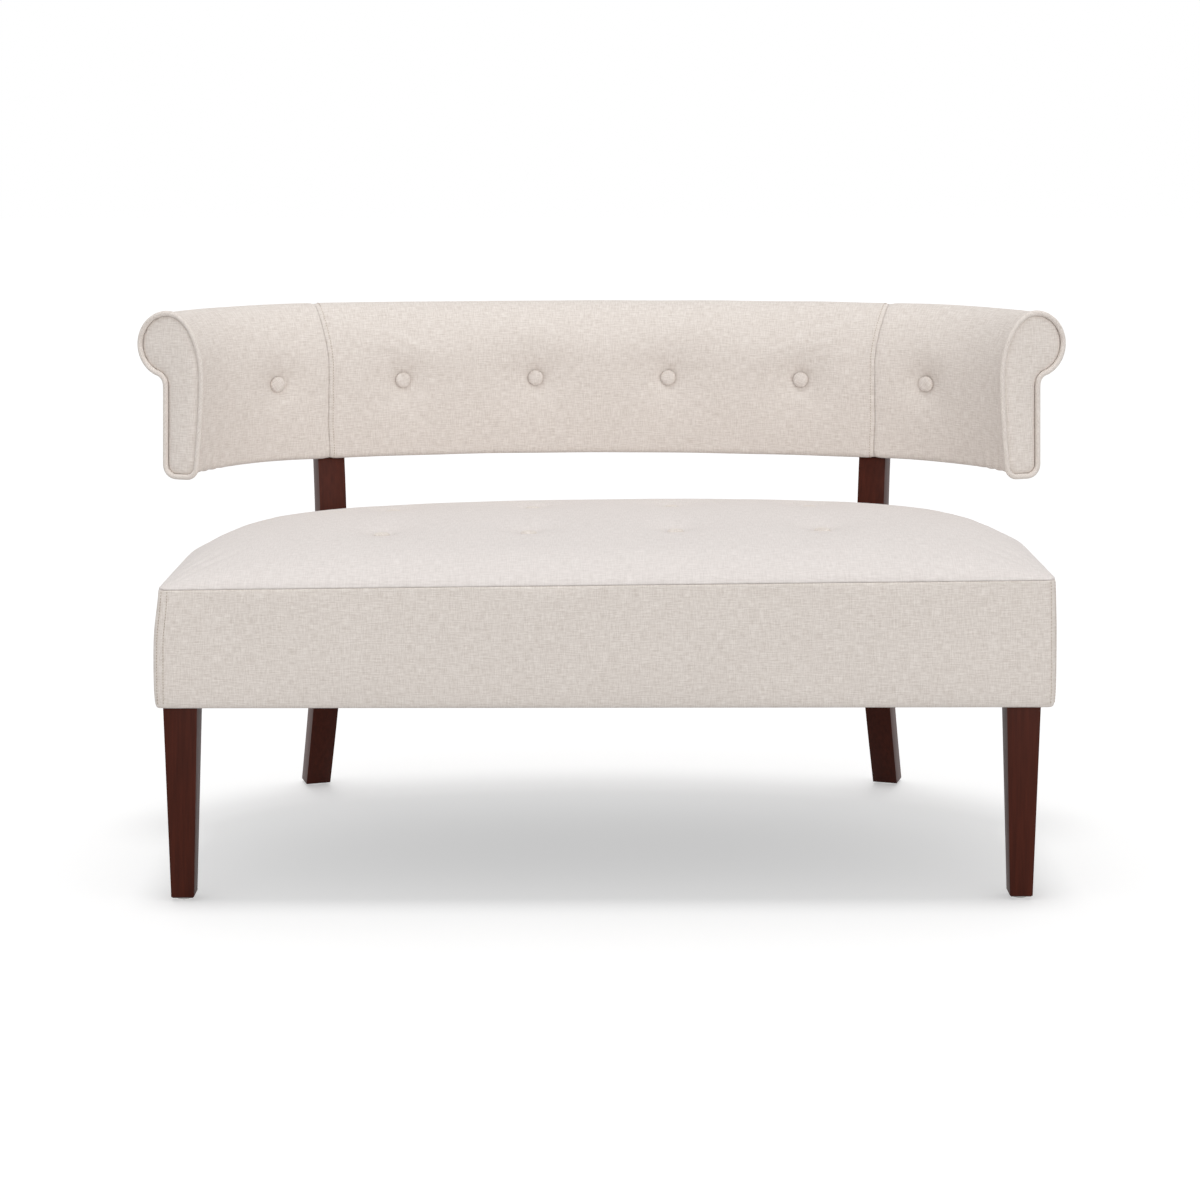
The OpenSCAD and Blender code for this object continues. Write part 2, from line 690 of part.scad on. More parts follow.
module seat_side_rail() {
    start = front_y + rail_inset + fit;
    translate([half_width - rail_inset, start, rail_bottom])
        cube([rail_thickness, corner_y - fit - start, rail_height]);
}

module seat_side_rail_left() { color(frame_wood) on_side(-1) seat_side_rail(); }
module seat_side_rail_right() { color(frame_wood) seat_side_rail(); }

module seat_stretcher() {
    start = front_y + rail_inset + fit;
    intersection() {
        translate([stretcher_offset - rail_thickness / 2, start, rail_top - stretcher_height])
            cube([rail_thickness, seat_depth, stretcher_height]);
        seat_slab(rail_inset + fit, rail_bottom, rail_top);
    }
}

module seat_stretcher_left() { color(frame_wood) on_side(-1) seat_stretcher(); }
module seat_stretcher_right() { color(frame_wood) seat_stretcher(); }

module corner_block() {
    x = half_width - rail_inset - fit;
    y = front_y + rail_inset + fit;
    difference() {
        translate([0, 0, rail_bottom]) linear_extrude(corner_block_height) polygon([
            [x, y], [x, y + corner_block_side], [x - 12, y + corner_block_side],
            [x - corner_block_side, y + 12], [x - corner_block_side, y]]);
        at_front_bolt() translate([0, 0, rail_bottom - 1])
            cylinder(d = insert_diameter + 2 * fit, h = insert_length + 1 + fit, $fn = small_fn);
        at_front_bolt() translate([0, 0, rail_bottom])
            cylinder(d = bolt_diameter + 2 * fit, h = corner_block_height + 1, $fn = small_fn);
    }
}

module corner_block_left() { color(frame_wood) on_side(-1) corner_block(); }
module corner_block_right() { color(frame_wood) corner_block(); }

// A block inside the rear rail that takes a rear leg's bolts
module leg_block() {
    difference() {
        intersection() {
            at_post() translate([-leg_block_width / 2, -rail_inset - fit - leg_block_thickness, rail_bottom])
                cube([leg_block_width, 3 * leg_block_thickness, rail_height - 1]);
            seat_slab(rail_inset + fit, rail_bottom, rail_top);
        }
        at_all_leg_bolts(bolt_diameter + 2 * fit);
    }
}

module leg_block_left() { color(frame_wood) on_side(-1) leg_block(); }
module leg_block_right() { color(frame_wood) leg_block(); }

module seat_deck() {
    color(ply) difference() {
        seat_slab(rail_outset, deck_bottom, deck_bottom + deck_thickness);
        at_seat_buttons() translate([0, 0, deck_bottom - 1])
            cylinder(d = twine_diameter + 2, h = deck_thickness + 2, $fn = small_fn);
    }
}

module seat_foam() {
    color(foam_yellow) difference() {
        seat_slab(rail_outset, foam_bottom, foam_top);
        at_seat_buttons() translate([0, 0, foam_bottom - 1])
            cylinder(d = twine_diameter + 2, h = 200, $fn = small_fn);
    }
}

module seat_top_pad() {
    color(fabric) difference() {
        seat_pad();
        at_seat_buttons() translate([0, 0, pad_bottom - 1])
            cylinder(d = twine_diameter + 2 * fit, h = 80, $fn = small_fn);
    }
}

module seat_side_cover() {
    color(fabric) difference() {
        seat_band();
        at_all_leg_bolts(bolt_diameter + 2 * fit);
    }
}

// A covered button, domed upwards from its flat underside
module button() {
    r = button_diameter / 2;
    rotate_extrude($fn = 48) polygon(concat([[0, 0]], [for (k = [0:6])
        let (a = 15 * k) [r * cos(a), button_height * (0.25 + 0.75 * sin(a))]]));
}

module seat_buttons() {
    color(fabric) for (p = seat_button_places)
        translate([p[0], p[1], seat_top(p[0], p[1]) - seat_tuft + fit]) button();
}

// Twine from each seat button down to a toggle under the deck
module seat_button_ties() {
    toggle_z = deck_bottom - fit - toggle_height;
    color(twine) for (p = seat_button_places) translate([p[0], p[1], toggle_z]) {
        cylinder(d = toggle_diameter, h = toggle_height, $fn = small_fn);
        cylinder(d = twine_diameter, h = seat_top(p[0], p[1]) - seat_tuft - toggle_z, $fn = small_fn);
    }
}

module dust_cover() {
    color(black_cloth) difference() {
        seat_slab(seat_wrap + hem_width + fit, rail_bottom - fit - dust_cover_thickness, rail_bottom - fit);
        for (side = [-1, 1]) on_side(side) at_front_bolt() translate([0, 0, seat_bottom - 1])
            cylinder(d = bolt_diameter + 2, h = 10, $fn = small_fn);
    }
}

// A flat rail cut to the curve of the back
module back_rail(z) {
    along_back(core_angle) translate([frame_r, z]) square([frame_depth, back_rail_thickness]);
}

module back_lower_rail() {
    color(frame_wood) difference() {
        back_rail(lower_rail_z);
        for (side = [-1, 1]) on_side(side) at_post()
            translate([-rear_leg_width / 2 - fit, back_gap + tongue_r - fit, lower_rail_z - 1])
            cube([rear_leg_width + 2 * fit, 60, back_rail_thickness + 2]);
    }
}

module back_upper_rail() { color(frame_wood) back_rail(upper_rail_z); }

// A thin plywood skin bent over the front of the frame
module back_skin() {
    color(ply) difference() {
        along_back(core_angle) translate([skin_r, lower_rail_z])
            square([skin_thickness, roll_seat_z - fit - lower_rail_z]);
        back_tie_holes(twine_diameter + 2);
    }
}

module back_tie_holes(diameter) {
    for (b = back_button_places) at_back(b) translate([0, -2, button_z]) rotate([-90, 0, 0])
        cylinder(d = diameter, h = back_thickness, $fn = small_fn);
}

module back_upright(distance) {
    at_back(distance) translate([-upright_thickness / 2, frame_r + 0.3, upright_z])
        cube([upright_thickness, frame_depth - 0.6, upright_height]);
}

module back_upright_middle() { color(frame_wood) back_upright(0); }
module back_upright_left() { color(frame_wood) back_upright(-upright_pitch); }
module back_upright_right() { color(frame_wood) back_upright(upright_pitch); }

// A packer between the skin and the leg's tongue
module post_packer() {
    difference() {
        at_post() translate([-packer_width / 2, back_gap + frame_r + 0.3, upright_z])
            cube([packer_width, packer_depth - 0.3, upright_height]);
        at_back_bolts() cylinder(d = bolt_diameter + 2 * fit, h = back_thickness, $fn = small_fn);
        at_back_bolts() translate([0, 0, frame_r - fit])
            cylinder(d = tee_flange + 1, h = 3 * fit + tee_thickness, $fn = small_fn);
    }
}

module post_packer_left() { color(frame_wood) on_side(-1) post_packer(); }
module post_packer_right() { color(frame_wood) post_packer(); }

module back_bolts() {
    head_at = frame_end_r - back_head_height;
    color(steel) for (side = [-1, 1]) on_side(side) at_back_bolts() translate([0, 0, head_at])
        bolt(head_at - frame_r - 1, back_head_height);
}

// Flanged nuts let into the front of the packers
module back_tee_nuts() {
    color(steel) for (side = [-1, 1]) on_side(side) at_back_bolts() translate([0, 0, frame_r + 0.3])
        difference() {
            cylinder(d = tee_flange, h = tee_thickness, $fn = small_fn);
            translate([0, 0, -1]) cylinder(d = bolt_diameter + 2 * fit, h = 10, $fn = small_fn);
        }
}

module back_foam() {
    color(foam_yellow) difference() {
        along_back(core_angle) translate([foam_r, lower_rail_z])
            square([back_foam_thickness, roll_seat_z - fit - lower_rail_z]);
        back_tie_holes(twine_diameter + 2);
    }
}

// The roll's core, cut flat where it sits on the upper rail
module roll_foam() {
    low = -asin((core[1] - roll_seat_z) / core_radius);
    color(foam_yellow) along_back(core_angle) polygon(arc(core, core_radius, low, 180 - low, 24));
}

module back_cover_middle() {
    half_lines = concat([0], lines_near(button_pitch / 2), [button_pitch],
        lines_near(1.5 * button_pitch), [turn_length - seam_fade, turn_length - fit / 2]);
    lines = concat([for (k = [len(half_lines) - 1:-1:1]) -half_lines[k]], half_lines);
    color(fabric) difference() {
        back_cover(lines);
        back_tie_holes(twine_diameter + 2 * fit);
    }
}

module back_cover_side() {
    start = turn_length + fit / 2;
    near = lines_near(wing_button);
    reach = wing_button + tuft_reach;
    lines = concat([start, max(start + seam_fade / 3, near[0])], [for (k = [1:4]) near[k]],
        [for (k = [1:3]) reach + (arm_length - seam_fade - reach) * k / 3], [arm_length]);
    difference() {
        back_cover(lines);
        back_tie_holes(twine_diameter + 2 * fit);
    }
}

module back_cover_left() { color(fabric) on_side(-1) back_cover_side(); }
module back_cover_right() { color(fabric) back_cover_side(); }

// The outside back, with a hem turned under the frame and notched round the legs
module outside_back_cover() {
    color(fabric) difference() {
        along_back() polygon([
            [tongue_r, back_bottom], [back_thickness - 2, back_bottom], [back_thickness, back_bottom + 2],
            [back_thickness, neck_z - fit], [back_thickness - cover_wall, neck_z - fit],
            [back_thickness - cover_wall, back_bottom + cover_wall], [tongue_r, back_bottom + cover_wall]]);
        for (side = [-1, 1]) on_side(side) at_post()
            translate([-rear_leg_width / 2 - fit, back_gap + tongue_r - 2 * fit, back_bottom - 1])
            cube([rear_leg_width + 2 * fit, tongue_thickness + 3 * fit, cover_wall + 2]);
    }
}

module back_buttons() {
    color(fabric) for (b = back_button_places) at_back(b)
        translate([0, button_seat - fit, button_z]) rotate([90, 0, 0]) button();
}

// Twine from each back button to a toggle behind the skin
module back_button_ties() {
    reach = frame_r + fit - button_seat;
    color(twine) for (b = back_button_places) at_back(b)
        translate([0, button_seat, button_z]) rotate([-90, 0, 0]) {
            cylinder(d = twine_diameter, h = reach, $fn = small_fn);
            translate([0, 0, reach])
                cylinder(d = toggle_diameter, h = toggle_height, $fn = small_fn);
        }
}

// A board inside each arm end, cut to the section of the frame, foam and roll
module arm_board() {
    at_arm(-arm_board_thickness - fit) linear_extrude(arm_board_thickness) {
        translate([foam_r, lower_rail_z]) square([frame_end_r - foam_r, roll_seat_z + core_sink - lower_rail_z]);
        translate(core) circle(r = core_radius, $fn = 64);
    }
}

module arm_board_left() { color(ply) on_side(-1) arm_board(); }
module arm_board_right() { color(ply) arm_board(); }

module arm_facing() {
    at_arm(fit) linear_extrude(facing_wrap) polygon(scroll_outline(facing_inset));
}

module arm_facing_left() { color(fabric) on_side(-1) arm_facing(); }
module arm_facing_right() { color(fabric) arm_facing(); }

// The welt: a cord swept once round the edge of an arm end
module arm_welt() {
    path = scroll_outline(facing_inset - welt_radius - fit);
    count = len(path);
    sides = 8;
    points = flatten([for (k = [0:count - 1])
        let (before = path[(k + count - 1) % count], after = path[(k + 1) % count],
             run = (after - before) / norm(after - before), out = [run[1], -run[0]])
        [for (j = [0:sides - 1]) let (a = 360 * j / sides, p = path[k] + welt_radius * cos(a) * out)
            [p[0], p[1], welt_radius * sin(a)]]]);
    at_arm(fit + welt_radius) polyhedron(points = points, faces = [for (k = [0:count - 1], j = [0:sides - 1])
        let (a = k * sides + j, b = k * sides + (j + 1) % sides,
             c = ((k + 1) % count) * sides + j, d = ((k + 1) % count) * sides + (j + 1) % sides)
        each [[a, b, c], [b, d, c]]]);
}

module arm_welt_left() { color(fabric) on_side(-1) arm_welt(); }
module arm_welt_right() { color(fabric) arm_welt(); }

front_leg_left();
front_leg_right();
rear_leg_left();
rear_leg_right();
foot_glides();
front_leg_bolts();
front_leg_inserts();
rear_leg_bolts();
rear_leg_nuts();
seat_front_rail();
seat_rear_rail();
seat_side_rail_left();
seat_side_rail_right();
seat_stretcher_left();
seat_stretcher_right();
corner_block_left();
corner_block_right();
leg_block_left();
leg_block_right();
seat_deck();
seat_foam();
seat_top_pad();
seat_side_cover();
seat_buttons();
seat_button_ties();
dust_cover();
back_lower_rail();
back_upper_rail();
back_skin();
back_upright_middle();
back_upright_left();
back_upright_right();
post_packer_left();
post_packer_right();
back_bolts();
back_tee_nuts();
back_foam();
roll_foam();
back_cover_middle();
back_cover_left();
back_cover_right();
outside_back_cover();
back_buttons();
back_button_ties();
arm_board_left();
arm_board_right();
arm_facing_left();
arm_facing_right();
arm_welt_left();
arm_welt_right();
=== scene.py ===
# Settee with a tufted D-shaped seat and a floating rolled back
import math
import bpy
import numpy as np
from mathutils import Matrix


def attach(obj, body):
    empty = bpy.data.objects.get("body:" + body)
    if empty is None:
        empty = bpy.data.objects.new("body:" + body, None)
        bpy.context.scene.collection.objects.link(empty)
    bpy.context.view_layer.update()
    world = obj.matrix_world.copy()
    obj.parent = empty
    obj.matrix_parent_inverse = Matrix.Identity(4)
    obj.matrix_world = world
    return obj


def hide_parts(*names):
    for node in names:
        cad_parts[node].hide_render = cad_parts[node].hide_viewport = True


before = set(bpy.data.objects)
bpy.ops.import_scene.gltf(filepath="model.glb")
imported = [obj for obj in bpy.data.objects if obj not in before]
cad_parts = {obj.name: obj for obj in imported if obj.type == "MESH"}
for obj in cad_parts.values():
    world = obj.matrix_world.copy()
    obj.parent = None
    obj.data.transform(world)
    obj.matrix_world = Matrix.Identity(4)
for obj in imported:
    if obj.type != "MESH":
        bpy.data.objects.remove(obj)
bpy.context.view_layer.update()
scene = bpy.context.scene
scene.view_settings.view_transform = "Standard"
print("frame loaded")

# Sizes in metres, as in the construction drawing
seat = {"width": 1.176, "depth": 0.545, "rearRadius": 1.315, "cornerRadius": 0.235,
        "seamHeight": 0.420, "bottom": 0.256, "crown": 0.050, "seamInset": 0.0026,
        "cornerRounding": 0.012}
back = {"gap": 0.004, "bottom": 0.516, "top": 0.746, "thickness": 0.054, "rollRadius": 0.0455,
        "rollCentre": 0.047, "swell": 0.008, "fullest": 0.137, "armLength": 0.654,
        "edgeRound": 0.009, "hemEnd": 0.0324, "seamDip": 0.0017}
tufts = {"pitch": 0.201, "wing": 0.493, "frontRow": 0.165, "rowPitch": 0.210, "seatDepth": 0.012,
         "backDepth": 0.012, "reach": 0.052, "flat": 0.0105, "steep": 0.010, "share": 0.5,
         "held": 0.013, "button": 0.0228, "height": 0.007}

halfWidth = seat["width"] / 2
frontY = -(seat["depth"] + back["gap"] + back["rollCentre"] + back["rollRadius"]) / 2
turn = math.asin((halfWidth - seat["cornerRadius"]) / (seat["rearRadius"] - seat["cornerRadius"]))
cornerX = halfWidth - seat["cornerRadius"]
rearY = frontY + seat["depth"] - seat["rearRadius"]
cornerY = rearY + (seat["rearRadius"] - seat["cornerRadius"]) * math.cos(turn)
turnLength = (seat["rearRadius"] + back["gap"]) * turn
crownZ = back["bottom"] + back["fullest"]
buttonZ = (back["top"] + back["bottom"]) / 2
rollZ = back["top"] - back["rollRadius"]
outerNeck = -math.acos((back["thickness"] - back["rollCentre"]) / back["rollRadius"])


def backAngle(distance):
    reach = np.abs(distance)
    straight = reach / (seat["rearRadius"] + back["gap"])
    curved = turn + (reach - turnLength) / (seat["cornerRadius"] + back["gap"])
    return np.sign(distance) * np.where(reach <= turnLength, straight, curved)


def planPoint(angle, out):
    wide = np.abs(angle) > turn
    radius = np.where(wide, seat["cornerRadius"], seat["rearRadius"]) + out
    x = np.where(wide, np.sign(angle) * cornerX, 0) + radius * np.sin(angle)
    y = np.where(wide, cornerY, rearY) + radius * np.cos(angle)
    return x, y


def rearEdge(x):
    reach = np.abs(x)
    onArc = rearY + np.sqrt(np.maximum(0, seat["rearRadius"] ** 2 - reach ** 2))
    onCorner = cornerY + np.sqrt(np.maximum(0, seat["cornerRadius"] ** 2 - (reach - cornerX) ** 2))
    return np.where(reach <= seat["rearRadius"] * math.sin(turn), onArc, onCorner)


def ease(t):
    t = np.clip(t, 0, 1)
    return t * t * (3 - 2 * t)


def waves(x, y, seed, size):
    # A smooth, repeatable unevenness between -1 and 1
    rng = np.random.default_rng(seed)
    total = np.zeros_like(x)
    for k in range(7):
        way = rng.uniform(0, math.tau)
        length = size * rng.uniform(0.6, 1.6)
        total += np.sin((x * math.cos(way) + y * math.sin(way)) * math.tau / length
                        + rng.uniform(0, math.tau))
    return total / 3.5


def arc(centre, radii, first, last, count):
    # Points along part of a circle or an ellipse
    turns = np.linspace(first, last, count)
    return np.stack([centre[0] + radii[0] * np.cos(turns), centre[1] + radii[1] * np.sin(turns)], axis=1)


def runOf(line):
    # How far along the line each of its points is
    return np.concatenate([[0], np.cumsum(np.hypot(*np.diff(line[:, :2], axis=0).T))])


def atEnds(t):
    return (t < 1e-4) | (t > 1 - 1e-4)


def evenSteps(line, count):
    run = runOf(line)
    wanted = np.linspace(0, run[-1], count + 1)
    return np.stack([np.interp(wanted, run, column) for column in line.T], axis=1), wanted


# Modelling helpers
mergeDistance = 0.00002


def clearSelection():
    if bpy.context.object and bpy.context.object.mode != "OBJECT":
        bpy.ops.object.mode_set(mode="OBJECT")
    bpy.ops.object.select_all(action="DESELECT")


def pick(piece):
    clearSelection()
    piece.select_set(True)
    bpy.context.view_layer.objects.active = piece


def named(name):
    piece = bpy.context.object
    piece.name = name
    piece.data.name = name
    return piece


def spots(piece):
    flat = np.empty(len(piece.data.vertices) * 3)
    piece.data.vertices.foreach_get("co", flat)
    return flat.reshape(-1, 3)


def moveTo(piece, places):
    piece.data.vertices.foreach_set("co", np.asarray(places, dtype=float).ravel())
    piece.data.update()


def addCloth(piece, across, along):
    # UV in metres, so that the weave keeps its scale
    layer = piece.data.uv_layers.get("cloth") or piece.data.uv_layers.new(name="cloth")
    corner = np.empty(len(piece.data.loops), dtype=int)
    piece.data.loops.foreach_get("vertex_index", corner)
    both = np.stack([np.asarray(across)[corner], np.asarray(along)[corner]], axis=1)
    layer.data.foreach_set("uv", both.ravel())


def gridPiece(name, columns, rows, place):
    # A grid primitive carried to the surface that place(u, v) describes
    clearSelection()
    bpy.ops.mesh.primitive_grid_add(x_subdivisions=columns, y_subdivisions=rows, size=1,
                                    location=(0, 0, 0), calc_uvs=False)
    piece = named(name)
    flat = spots(piece)
    u = flat[:, 0] + 0.5
    v = flat[:, 1] + 0.5
    x, y, z, across, along = place(u, v)
    moveTo(piece, np.stack([x, y, z], axis=1))
    addCloth(piece, across, along)
    piece.data.shade_smooth()
    return piece, u, v


def applyModifier(piece, kind, **settings):
    pick(piece)
    modifier = piece.modifiers.new(kind.lower(), kind)
    for key, value in settings.items():
        setattr(modifier, key, value)
    bpy.ops.object.modifier_apply(modifier=modifier.name)


def startEdit(piece, action="SELECT"):
    pick(piece)
    bpy.ops.object.mode_set(mode="EDIT")
    bpy.ops.mesh.select_all(action=action)


def endEdit():
    bpy.ops.object.mode_set(mode="OBJECT")


def outward(piece):
    startEdit(piece)
    bpy.ops.mesh.remove_doubles(threshold=mergeDistance)
    bpy.ops.mesh.normals_make_consistent(inside=False)
    endEdit()


def turnInsideOut(piece):
    startEdit(piece)
    bpy.ops.mesh.flip_normals()
    endEdit()


clothWork = {"frames": 20, "quality": 6, "mass": 0.3, "stretch": 15, "shear": 5, "bending": 0.5}


def fillOut(piece, held, cap, pressure):
    # Cloth under a little air pressure, held at its seams and buttons
    start = spots(piece)
    group = piece.vertex_groups.new(name="held")
    group.add([int(k) for k in np.nonzero(held)[0]], 1.0, "REPLACE")
    modifier = piece.modifiers.new("cloth", "CLOTH")
    cloth = modifier.settings
    cloth.quality = clothWork["quality"]
    cloth.mass = clothWork["mass"]
    cloth.tension_stiffness = clothWork["stretch"]
    cloth.compression_stiffness = clothWork["stretch"]
    cloth.shear_stiffness = clothWork["shear"]
    cloth.bending_stiffness = clothWork["bending"]
    cloth.use_pressure = True
    cloth.uniform_pressure_force = pressure
    cloth.vertex_group_mass = "held"
    cloth.effector_weights.gravity = 0
    modifier.collision_settings.use_collision = False
    modifier.point_cache.frame_start = 1
    modifier.point_cache.frame_end = clothWork["frames"]
    for count in range(1, clothWork["frames"] + 1):
        scene.frame_set(count)
    solved = piece.evaluated_get(bpy.context.evaluated_depsgraph_get())
    flat = np.empty(len(piece.data.vertices) * 3)
    solved.data.vertices.foreach_get("co", flat)
    move = flat.reshape(-1, 3) - start
    length = np.linalg.norm(move, axis=1)
    soft = cap * np.tanh(length / cap) / np.maximum(length, 1e-9)
    piece.modifiers.remove(modifier)
    piece.vertex_groups.remove(group)
    scene.frame_set(1)
    moveTo(piece, start + move * soft[:, None])
    print("  filled", piece.name, "largest move", round(float(length.max()) * 1000, 1), "mm")


def finishPiece(piece, material, nodes):
    piece.data.materials.clear()
    piece.data.materials.append(material)
    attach(piece, "root")
    if nodes:
        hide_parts(*nodes)
    return piece


# Materials
class Wire:
    # One socket, so that shader sums read as sums
    def __init__(self, tree, socket):
        self.tree = tree
        self.socket = socket

    def math(self, operation, *others):
        step = self.tree.nodes.new("ShaderNodeMath")
        step.operation = operation
        for place, value in enumerate((self,) + others):
            if isinstance(value, Wire):
                self.tree.links.new(value.socket, step.inputs[place])
            else:
                step.inputs[place].default_value = value
        return Wire(self.tree, step.outputs[0])

    def __add__(self, other):
        return self.math("ADD", other)

    def __mul__(self, other):
        return self.math("MULTIPLY", other)

    def __sub__(self, other):
        return self.math("SUBTRACT", other)

    def __rsub__(self, other):
        return (self * -1.0) + other

    __radd__ = __add__
    __rmul__ = __mul__


class Nodes:
    # One node tree while it is being made, from empty
    def __init__(self, owner, output):
        owner.use_nodes = True
        self.tree = owner.node_tree
        self.tree.nodes.clear()
        self.shown = self.tree.nodes.new(output).inputs["Surface"]

    def node(self, kind, settings=None, inputs=None, output=0):
        made = self.tree.nodes.new(kind)
        for key, value in (settings or {}).items():
            setattr(made, key, value)
        for key, value in (inputs or {}).items():
            self.join(value, made.inputs[key])
        return Wire(self.tree, made.outputs[output])

    def join(self, value, socket):
        if isinstance(value, Wire):
            self.tree.links.new(value.socket, socket)
        elif isinstance(value, tuple) and len(value) == 3 and socket.type == "RGBA":
            socket.default_value = (*value, 1)
        else:
            socket.default_value = value


class Finish(Nodes):
    # One material
    def __init__(self, name):
        self.material = bpy.data.materials.new(name)
        super().__init__(self.material, "ShaderNodeOutputMaterial")
        self.surface = self.tree.nodes.new("ShaderNodeBsdfPrincipled")
        self.join(Wire(self.tree, self.surface.outputs[0]), self.shown)

    def place(self, source, scale):
        # Texture places: the piece's cloth map or its own coordinates, stretched
        if source == "cloth":
            start = self.node("ShaderNodeUVMap", {"uv_map": "cloth"})
        else:
            start = self.node("ShaderNodeTexCoord", output="Object")
        return self.node("ShaderNodeMapping", None, {"Vector": start, "Scale": scale})

    def noise(self, where, detail, roughness):
        return self.node("ShaderNodeTexNoise", None,
                         {"Vector": where, "Scale": 1.0, "Detail": detail, "Roughness": roughness},
                         "Fac")

    def tint(self, low, high, share):
        return self.node("ShaderNodeMix", {"data_type": "RGBA", "clamp_factor": True},
                         {0: share, 6: low, 7: high}, 2)

    def bump(self, height, distance, strength):
        return self.node("ShaderNodeBump", None,
                         {"Height": height, "Distance": distance, "Strength": strength})

    def set(self, **values):
        for key, value in values.items():
            self.join(value, self.surface.inputs[key.replace("_", " ")])
        return self.material


def fromScreen(*values):
    # Screen values 0 to 255 as the scene's linear colour
    return tuple((v / 255 / 12.92) if v < 11 else ((v / 255 + 0.055) / 1.055) ** 2.4 for v in values)


linenLook = {"pale": (238, 231, 225), "deep": (211, 201, 193), "thread": 0.0015, "slub": 0.014,
             "weft": 2.1, "warp": 1.75, "cloud": 0.15, "fleck": 0.6, "bump": 0.0003, "rough": 0.9,
             "sheen": 0.12, "gloss": 0.3, "cloudScale": (16, 16, 1), "fleckScale": (900, 1000, 1)}
# The seat top's linen is a cooler, lower-contrast copy of the oatmeal linen. Its cooler tint is painted
# light, standing in for the cool light falling on the top.
seatTopLitLinenLook = {"pale": (236, 230, 227), "deep": (212, 205, 201), "contrast": 0.7}
threadLook = {"pale": (188, 172, 154), "deep": (160, 142, 122), "thread": 0.0006}


def linen(name, pale, deep, thread, contrast=1.0):
    # Slubby threads both ways, in metres of the cloth map
    f = Finish(name)
    weft = f.noise(f.place("cloth", (1 / linenLook["slub"], 1 / thread, 1)), 3, 0.6)
    warp = f.noise(f.place("cloth", (1 / thread, 1 / linenLook["slub"], 1)), 3, 0.6)
    cloud = f.noise(f.place("cloth", linenLook["cloudScale"]), 2, 0.5)
    fleck = f.noise(f.place("cloth", linenLook["fleckScale"]), 2, 0.7)
    share = ((weft - 0.5) * linenLook["weft"] + (warp - 0.5) * linenLook["warp"]
             + (cloud - 0.5) * linenLook["cloud"] + (fleck - 0.5) * linenLook["fleck"])
    share = share * contrast + 0.5
    colour = f.tint(fromScreen(*deep), fromScreen(*pale), share)
    height = weft * 0.5 + warp * 0.5 + fleck * 0.3
    normal = f.bump(height, linenLook["bump"], 0.8)
    return f.set(Base_Color=colour, Roughness=linenLook["rough"], Normal=normal,
                 Sheen_Weight=linenLook["sheen"], Sheen_Roughness=0.5,
                 Specular_IOR_Level=linenLook["gloss"])


espressoLook = {"deep": (46, 18, 11), "pale": (84, 37, 25), "rough": 0.42, "roughChange": 0.18,
                "gloss": 0.1, "grain": 1.1, "cloud": 0.8, "share": 0.45, "bump": 0.00012}


def espresso():
    f = Finish("espressoWood")
    grain = f.noise(f.place("object", (220, 220, 9)), 4, 0.65)
    pore = f.noise(f.place("object", (900, 900, 30)), 2, 0.6)
    cloud = f.noise(f.place("object", (9, 9, 5)), 2, 0.5)
    share = ((grain - 0.5) * espressoLook["grain"] + (cloud - 0.5) * espressoLook["cloud"]
             + espressoLook["share"])
    colour = f.tint(fromScreen(*espressoLook["deep"]), fromScreen(*espressoLook["pale"]), share)
    rough = (pore - 0.5) * espressoLook["roughChange"] + espressoLook["rough"]
    return f.set(Base_Color=colour, Roughness=rough,
                 Normal=f.bump(grain * 0.5 + pore * 0.5, espressoLook["bump"], 0.6),
                 Specular_IOR_Level=espressoLook["gloss"])


hiddenLook = {"foam": ((226, 208, 150), (242, 230, 184)), "steel": ((176, 176, 174), (208, 208, 206)),
              "twine": ((150, 128, 92), (204, 184, 144)), "cloth": ((20, 20, 22), (46, 46, 50)),
              "timber": ((186, 144, 92), (214, 176, 122)), "plywood": ((198, 164, 116), (222, 192, 146))}


def hiddenTint(f, which, share):
    deep, pale = hiddenLook[which]
    return f.tint(fromScreen(*deep), fromScreen(*pale), share)


def rawTimber(name, which, stretch):
    f = Finish(name)
    grain = f.noise(f.place("object", stretch), 4, 0.6)
    fine = f.noise(f.place("object", tuple(4 * s for s in stretch)), 2, 0.6)
    return f.set(Base_Color=hiddenTint(f, which, (grain - 0.5) * 1.6 + 0.5),
                 Roughness=(fine - 0.5) * 0.2 + 0.7,
                 Normal=f.bump(grain * 0.6 + fine * 0.4, 0.0002, 0.6))


def foamFinish():
    f = Finish("seatingFoam")
    cell = f.node("ShaderNodeTexVoronoi", None,
                  {"Vector": f.place("object", (600, 600, 600)), "Scale": 1.0}, "Distance")
    return f.set(Base_Color=hiddenTint(f, "foam", cell), Roughness=0.95,
                 Normal=f.bump(cell, 0.0006, 0.6))


def steelFinish():
    f = Finish("platedSteel")
    wear = f.noise(f.place("object", (400, 400, 400)), 3, 0.6)
    return f.set(Base_Color=hiddenTint(f, "steel", wear), Metallic=1.0,
                 Roughness=(wear - 0.5) * 0.2 + 0.32, Normal=f.bump(wear, 0.00005, 0.4))


def twineFinish():
    f = Finish("buttonTwine")
    ply = f.noise(f.place("object", (900, 900, 300)), 2, 0.6)
    return f.set(Base_Color=hiddenTint(f, "twine", ply), Roughness=0.9,
                 Normal=f.bump(ply, 0.0003, 0.7))


def blackCloth():
    f = Finish("blackCambric")
    dots = f.noise(f.place("object", (700, 700, 700)), 2, 0.7)
    cloud = f.noise(f.place("object", (20, 20, 20)), 2, 0.5)
    share = (dots - 0.5) * 1.2 + (cloud - 0.5) + 0.5
    return f.set(Base_Color=hiddenTint(f, "cloth", share), Roughness=0.92,
                 Normal=f.bump(dots, 0.0002, 0.6))


